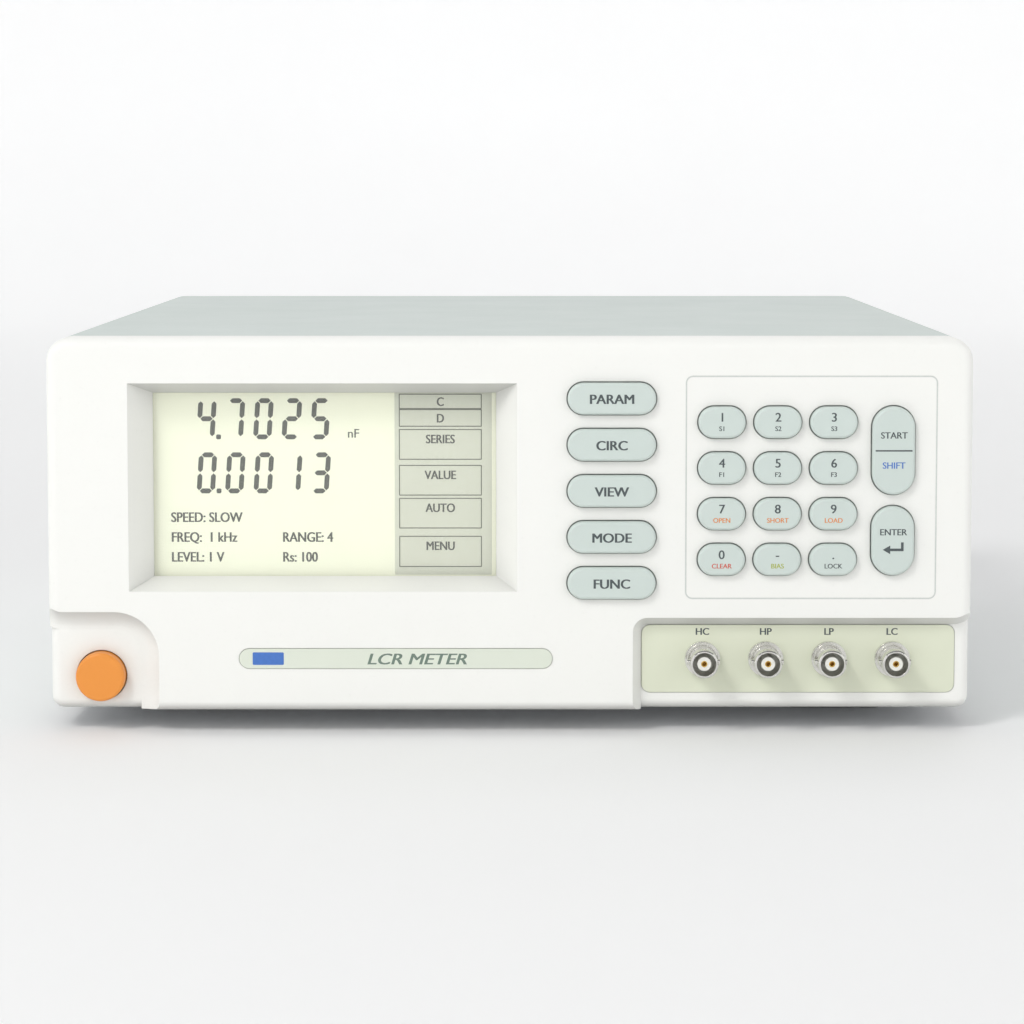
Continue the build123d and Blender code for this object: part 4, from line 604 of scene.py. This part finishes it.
MENU_HEIGHT, MENU_TEXT_DROP = 3.2 * MM, 3.4 * MM
MENU_LOOK = dict(weight=0.12 * MM, width=0.84)
AREA_SHIFT, AREA_EXTRA, AREA_INK = 1.0 * MM, 5.0 * MM, 0.02 * MM

window_low, window_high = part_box("display_window")
view_left, view_right = window_low.x + SHOWN, window_high.x - SHOWN
view_low, view_high = window_low.z + SHOWN, window_high.z - SHOWN
lcd_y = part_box("lcd_glass")[0].y
field_y = lcd_y - INK      # the menu's fields lie on its tinted area


def lying_bar(start, end, z):
    """Six corners of a level bar between two x values."""
    half = BAR_THICK / 2
    return [
        (start, z), (start + half, z + half), (end - half, z + half),
        (end, z), (end - half, z - half), (start + half, z - half),
    ]


def standing_bar(x, start, end):
    """Six corners of an upright bar between two z values."""
    half = BAR_THICK / 2
    return [
        (x, start), (x + half, start + half), (x + half, end - half),
        (x, end), (x - half, end - half), (x - half, start + half),
    ]


def segment_digit(digit, left, bottom):
    """Seven-segment digit: one flat six-cornered bar for each lit segment."""
    half, gap = BAR_THICK / 2, BAR_THICK * BAR_GAP
    rows = {"d": half, "g": DIGIT_HEIGHT / 2, "a": DIGIT_HEIGHT - half}
    columns = {"f": half, "e": half, "b": DIGIT_WIDTH - half, "c": DIGIT_WIDTH - half}
    bars = []
    for name in SEGMENTS[digit]:
        if name in rows:
            bar = lying_bar(half + gap, DIGIT_WIDTH - half - gap, rows[name])
        elif name in "fb":
            bar = standing_bar(columns[name], DIGIT_HEIGHT / 2 + gap, DIGIT_HEIGHT - half - gap)
        else:
            bar = standing_bar(columns[name], half + gap, DIGIT_HEIGHT / 2 - gap)
        bars.append(slab([(left + x + DIGIT_SLANT * z, bottom + z) for x, z in bar], lcd_y))
    return bars


def segment_number(text, left, bottom):
    bars = []
    for digit in text:
        if digit == ".":
            room = DIGIT_PITCH - DIGIT_WIDTH
            dot_x = left - room + room * DOT_PLACE
            dot = rounded(dot_x, bottom + BAR_THICK / 2, BAR_THICK, BAR_THICK, BAR_THICK * DOT_ROUNDING)
            bars.append(slab(dot, lcd_y))
            continue
        bars += segment_digit(digit, left, bottom)
        left += DIGIT_PITCH
    return bars


reading_left = view_left + READING_LEFT
shown_digits = []
for text, drop in READINGS:
    shown_digits += segment_number(text, reading_left, view_high - drop)
piece("lcd_digits", merged("lcd_digits", shown_digits), "case", inks["lcd_ink"])

unit_x, unit_z = reading_left + UNIT_PLACE, view_high - UNIT_DROP
shown_words = [words(UNIT, UNIT_HEIGHT, unit_x, lcd_y, unit_z, weight=UNIT_WEIGHT)]
for row, entries in enumerate(SETTINGS):
    row_z = view_low + SETTING_RISE - row * SETTING_PITCH
    for column, text in enumerate(entries):
        text_x = view_left + SETTING_LEFT + column * SETTING_COLUMN
        shown_words.append(words(text, SETTING_HEIGHT, text_x, lcd_y, row_z, "LEFT", **SETTING_LOOK))
menu_left, menu_right = view_right - MENU_LEFT, view_right - MENU_RIGHT
menu_x, menu_width = (menu_left + menu_right) / 2, menu_right - menu_left
menu_lines = []
for text, below, tall in MENU:
    field_top, field_height = view_high - below * MM, tall * MM
    field_z = field_top - field_height / 2
    menu_lines.append(frame_line(menu_x, field_z, menu_width, field_height, MENU_RADIUS, MENU_LINE, field_y))
    text_z = field_top - min(field_height / 2, MENU_TEXT_DROP)
    shown_words.append(words(text, MENU_HEIGHT, menu_x, field_y, text_z, **MENU_LOOK))
piece("lcd_text", merged("lcd_text", shown_words), "case", inks["lcd_ink"])
piece("lcd_menu_lines", merged("lcd_menu_lines", menu_lines), "case", inks["lcd_line_ink"])
area_z = (view_low + view_high) / 2
area = rounded(menu_x + AREA_SHIFT, area_z, menu_width + AREA_EXTRA, view_high - view_low, MENU_RADIUS)
piece("lcd_menu_area", slab(area, lcd_y, AREA_INK), "case", inks["menu_tint"])


# ------------------------------------------------------------------ screw recesses, painted as dark crosses of shade
REAR = Matrix.Rotation(math.pi, 4, "Z")
RIGHT = Matrix.Rotation(QUARTER_TURN, 4, "Z")
LEFT = Matrix.Rotation(-QUARTER_TURN, 4, "Z")
RECESS_SIZE, RECESS_ARM = 2.6 * MM, 0.6 * MM
SCREW_SETBACK, SCREW_RISE = 18.0 * MM, 22.0 * MM
FLANGE, REAR_SCREW_INSET, HEAD = 14.0 * MM, 42.0 * MM, 1.6 * MM
TRAY_WALL, COVER_WALL = 1.5 * MM, 1.2 * MM


def cross(size, arm):
    """The outline of a cross recess, round the origin."""
    long, short = size / 2, arm / 2
    return [
        (-short, -long), (short, -long), (short, -short), (long, -short), (long, short), (short, short),
        (short, long), (-short, long), (-short, short), (-long, short), (-long, -short), (-short, -short),
    ]


def recess(turn, place):
    """A dark cross of painted shade on a screw's head, standing in for its recess, turned from the front to
    the side that it faces.
    """
    mesh = slab(cross(RECESS_SIZE, RECESS_ARM), 0.0)
    mesh.transform(Matrix.Translation(place) @ turn)
    return mesh


cover_low, cover_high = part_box("top_cover")
tray_low, tray_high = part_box("chassis_tray")
screws_low, screws_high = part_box("case_screws")
panel_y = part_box("rear_panel")[1].y
screw_z = tray_low.z + SCREW_RISE
recesses = []
for y in (cover_low.y + SCREW_SETBACK, panel_y - SCREW_SETBACK):
    recesses.append(recess(RIGHT, (screws_high.x, y, screw_z)))
    recesses.append(recess(LEFT, (screws_low.x, y, screw_z)))
for side in (-1, 1):
    tray_screw_x = side * (tray_high.x - TRAY_WALL - FLANGE / 2)
    recesses.append(recess(REAR, (tray_screw_x, panel_y + HEAD, screw_z)))
    cover_screw_x = side * (cover_high.x - REAR_SCREW_INSET)
    cover_screw_z = cover_high.z - COVER_WALL - FLANGE / 2
    recesses.append(recess(REAR, (cover_screw_x, panel_y + HEAD, cover_screw_z)))
# dark crosses of painted shade stand in for the recesses in the screw heads
piece("screw_recess_shade", merged("screw_recess_shade", recesses), "case", inks["painted_recess_shade"])


# ------------------------------------------------------------------ rear sockets and plates
SOCKET_DEPTH, SOCKET_OFFSET = 19.0 * MM, 8.0 * MM
PIN_WIDTH, PIN_HEIGHT, PIN_RADIUS = 2.0 * MM, 4.0 * MM, 0.05 * MM
PIN_PITCH, PIN_OFFSET, PIN_LENGTH = 7.0 * MM, 2.0 * MM, 13.0 * MM
PLATING = 0.05 * MM
SHELL_DEPTH = 1.0 * MM
SERIAL_INSERT = (15.0 * MM, 7.2 * MM, 1.6 * MM)           # width, height and corner radius
HANDLER_INSERT = (46.0 * MM, 2.8 * MM, 0.6 * MM)
HANDLER_INSERT_OFFSET = 3.2 * MM
SERIAL_ROWS = ((1, 5), (-1, 4))                           # each row's side and number of contacts
SERIAL_PITCH, SERIAL_ROW_OFFSET, SERIAL_PIN_RADIUS = 2.75 * MM, 1.4 * MM, 0.55 * MM
HANDLER_WAYS = 18
HANDLER_PITCH, HANDLER_ROW_OFFSET = 2.2 * MM, 2.3 * MM
HANDLER_CONTACT = (0.8 * MM, 1.0 * MM, 0.1 * MM)
EARTH_SIGN_RISE, EARTH_STEM, EARTH_PITCH = 7.0 * MM, 3.4 * MM, 1.1 * MM
EARTH_BARS, EARTH_LINE = (5.0 * MM, 3.2 * MM, 1.4 * MM), 0.5 * MM
PLATE_WIDTH, PLATE_HEIGHT, PLATE_RADIUS = 44.0 * MM, 20.0 * MM, 1.5 * MM
PLATE_INSET, PLATE_RISE = 44.0 * MM, 14.0 * MM            # from the middle of the rear and from its foot
PLATE_MARGIN, RULE_MARGIN, RULE_PITCH = 1.0 * MM, 3.5 * MM, 4.5 * MM
RULE_RADIUS, RULE_LINE, LINE_RADIUS = 1.0 * MM, 0.3 * MM, 0.1 * MM


def disc(x, z, radius, steps=20):
    turns = [2 * math.pi * step / steps for step in range(steps)]
    return [(x + radius * math.cos(turn), z + radius * math.sin(turn)) for turn in turns]


inlet = middle("mains_inlet")
pin_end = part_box("mains_inlet")[1].y - SOCKET_DEPTH + PIN_LENGTH
sleeves = []
for side, lift in ((-1, -1), (1, -1), (0, 1)):
    x, z = inlet.x + side * PIN_PITCH, inlet.z + SOCKET_OFFSET + lift * PIN_OFFSET
    core = rounded(x, z, PIN_WIDTH, PIN_HEIGHT, PIN_RADIUS)
    sleeve = rounded(x, z, PIN_WIDTH + 2 * PLATING, PIN_HEIGHT + 2 * PLATING, PIN_RADIUS + PLATING)
    sleeves.append(slab(sleeve, pin_end, PIN_LENGTH, core))
    sleeves.append(slab(sleeve, pin_end + INK))
plating = merged("inlet_pin_plating", sleeves)
piece("inlet_pin_plating", plating, "case", materials["nickel_plate"])

serial, handler = middle("serial_port"), middle("handler_port")
insert_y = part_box("serial_port")[1].y - SHELL_DEPTH + INK
inserts = [
    slab(rounded(serial.x, serial.z, *SERIAL_INSERT), insert_y),
    slab(rounded(handler.x, serial.z + HANDLER_INSERT_OFFSET, *HANDLER_INSERT), insert_y),
    slab(rounded(handler.x, serial.z - HANDLER_INSERT_OFFSET, *HANDLER_INSERT), insert_y),
]
piece("port_inserts", merged("port_inserts", inserts), "case", materials["black_plastic"])
contacts = []
for way, count in SERIAL_ROWS:
    for index in range(count):
        x = serial.x + SERIAL_PITCH * (index - (count - 1) / 2)
        contact = disc(x, serial.z + way * SERIAL_ROW_OFFSET, SERIAL_PIN_RADIUS)
        contacts.append(slab(contact, insert_y + INK))
for way in (-1, 1):
    for index in range(HANDLER_WAYS):
        x = handler.x + HANDLER_PITCH * (index - (HANDLER_WAYS - 1) / 2)
        contact = rounded(x, serial.z + way * HANDLER_ROW_OFFSET, *HANDLER_CONTACT)
        contacts.append(slab(contact, insert_y + INK))
piece("port_contacts", merged("port_contacts", contacts), "case", materials["gold_plate"])

earth_x = middle("earth_post").x
sign_y = panel_y + INK
sign_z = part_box("earth_post")[1].z + EARTH_SIGN_RISE
earth_sign = [slab(rounded(earth_x, sign_z + EARTH_STEM / 2, EARTH_LINE, EARTH_STEM, LINE_RADIUS), sign_y)]
for row, width in enumerate(EARTH_BARS):
    bar = rounded(earth_x, sign_z - row * EARTH_PITCH, width, EARTH_LINE, LINE_RADIUS)
    earth_sign.append(slab(bar, sign_y))
piece("earth_sign", merged("earth_sign", earth_sign), "case", inks["key_ink"])

rating_x, rating_z = -PLATE_WIDTH / 2 - PLATE_INSET, tray_low.z + PLATE_RISE
rating = slab(rounded(rating_x, rating_z, PLATE_WIDTH, PLATE_HEIGHT, PLATE_RADIUS), sign_y)
piece("rating_plate", rating, "case", materials["tinned_steel"])
rules = [frame_line(
    rating_x, rating_z, PLATE_WIDTH - 2 * PLATE_MARGIN, PLATE_HEIGHT - 2 * PLATE_MARGIN,
    RULE_RADIUS, RULE_LINE, sign_y + INK,
)]
for row in (-1, 0, 1):
    rule_z = rating_z + row * RULE_PITCH
    rule = rounded(rating_x, rule_z, PLATE_WIDTH - 2 * RULE_MARGIN, RULE_LINE, LINE_RADIUS)
    rules.append(slab(rule, sign_y + INK))
piece("rating_plate_rules", merged("rating_plate_rules", rules), "case", inks["key_ink"])


# ------------------------------------------------------------------ floor, light, camera
FLOOR_RADII = (0.02, 0.6, 2.4)                            # rings of the flat part, in metres
BEND_RADIUS, BEND_STEPS, WALL_TOP = 1.2, 10, 3.0
FLOOR_TURNS = 96
GLOW_NEAR, GLOW_FAR = 0.5, 3.2                            # distances between which the glow grows
FLOOR_GLOW, WALL_GLOW = 0.03, 0.34                        # lifts the far wall to the floor's tone
CASE_MIDDLE = Vector((0.0, 0.0, 0.06))
WHITE_LIGHT, WARM_LIGHT, COOL_LIGHT = (1.0, 1.0, 1.0), (1.0, 0.997, 0.985), (0.97, 0.985, 1.0)
WORLD_STRENGTH = 0.25


def studio_floor():
    """A round floor that curves up into a wall far behind, so no horizon shows from any side."""
    shader = Shader("studio_floor")
    tone = shader.blend(shader.noise(scale=1.5, detail=2.0), srgb(245, 245, 245), srgb(249, 249, 249))
    distance = shader.add("ShaderNodeVectorMath", {0: shader.place}, operation="LENGTH").outputs["Value"]
    shader.set("Base Color", tone)
    shader.set("Emission Color", tone)
    shader.set("Emission Strength", shader.span(distance, GLOW_NEAR, GLOW_FAR, FLOOR_GLOW, WALL_GLOW))
    shader.set("Roughness", 0.9)
    profile = [(radius, 0.0) for radius in FLOOR_RADII]
    flat = FLOOR_RADII[-1]
    for step in range(1, BEND_STEPS + 1):
        angle = step / BEND_STEPS * QUARTER_TURN
        profile.append((flat + BEND_RADIUS * math.sin(angle), BEND_RADIUS * (1 - math.cos(angle))))
    profile.append((flat + BEND_RADIUS, WALL_TOP))
    shape = bmesh.new()
    rings = []
    for radius, z in profile:
        ring = []
        for turn in range(FLOOR_TURNS):
            angle = turn / FLOOR_TURNS * 2 * math.pi
            ring.append(shape.verts.new((radius * math.cos(angle), radius * math.sin(angle), z)))
        rings.append(ring)
    for inner, outer in zip(rings, rings[1:]):
        for turn in range(FLOOR_TURNS):
            following = (turn + 1) % FLOOR_TURNS
            shape.faces.new((inner[turn], outer[turn], outer[following], inner[following]))
    shape.faces.new(rings[0])
    mesh = bpy.data.meshes.new("studio_floor")
    shape.to_mesh(mesh)
    shape.free()
    for face in mesh.polygons:
        face.use_smooth = True
    mesh.materials.append(shader.material)
    floor = bpy.data.objects.new("studio_floor", mesh)
    bpy.context.scene.collection.objects.link(floor)


def soft_light(name, place, size, power, colour=WHITE_LIGHT):
    """A round lamp that shines on the case's middle."""
    light = bpy.data.lights.new(name, "AREA")
    light.shape = "DISK"
    light.size = size
    light.energy = power
    light.color = colour
    holder = bpy.data.objects.new(name, light)
    holder.location = place
    holder.rotation_euler = (CASE_MIDDLE - Vector(place)).to_track_quat("-Z", "Y").to_euler()
    bpy.context.scene.collection.objects.link(holder)


studio_floor()
soft_light("key_light", (-1.0, -1.4, 1.6), size=0.7, power=16.0, colour=WARM_LIGHT)
soft_light("fill_light", (1.5, -1.2, 0.8), size=1.4, power=1.7, colour=COOL_LIGHT)
soft_light("top_light", (-0.2, 0.5, 2.0), size=1.6, power=5.4)
soft_light("back_light", (0.4, 1.5, 2.2), size=1.6, power=5.0)
world = bpy.data.worlds.new("studio")
world.use_nodes = True
world.node_tree.nodes["Background"].inputs["Color"].default_value = (*COOL_LIGHT, 1.0)
world.node_tree.nodes["Background"].inputs["Strength"].default_value = WORLD_STRENGTH
bpy.context.scene.world = world
bpy.context.scene.view_settings.view_transform = "Standard"

SENSOR, FOCAL = 36.0, 91.55                               # in millimetres
SHIFT_X, SHIFT_Y = -0.013, -0.15
CAMERA_X, CAMERA_DISTANCE, CAMERA_Z = 5.4 * MM, 893.2 * MM, 194.2 * MM
PITCH = 4.06                                              # degrees down
CLIP_END = 50.0
camera_data = bpy.data.cameras.new("camera")
camera_data.sensor_width = SENSOR
camera_data.lens = FOCAL
camera_data.shift_x = SHIFT_X
camera_data.shift_y = SHIFT_Y
camera_data.clip_end = CLIP_END
camera = bpy.data.objects.new("camera", camera_data)
camera.location = (CAMERA_X, face_y - CAMERA_DISTANCE, CAMERA_Z)
camera.rotation_euler = (QUARTER_TURN - math.radians(PITCH), 0.0, 0.0)
bpy.context.scene.collection.objects.link(camera)
bpy.context.scene.camera = camera
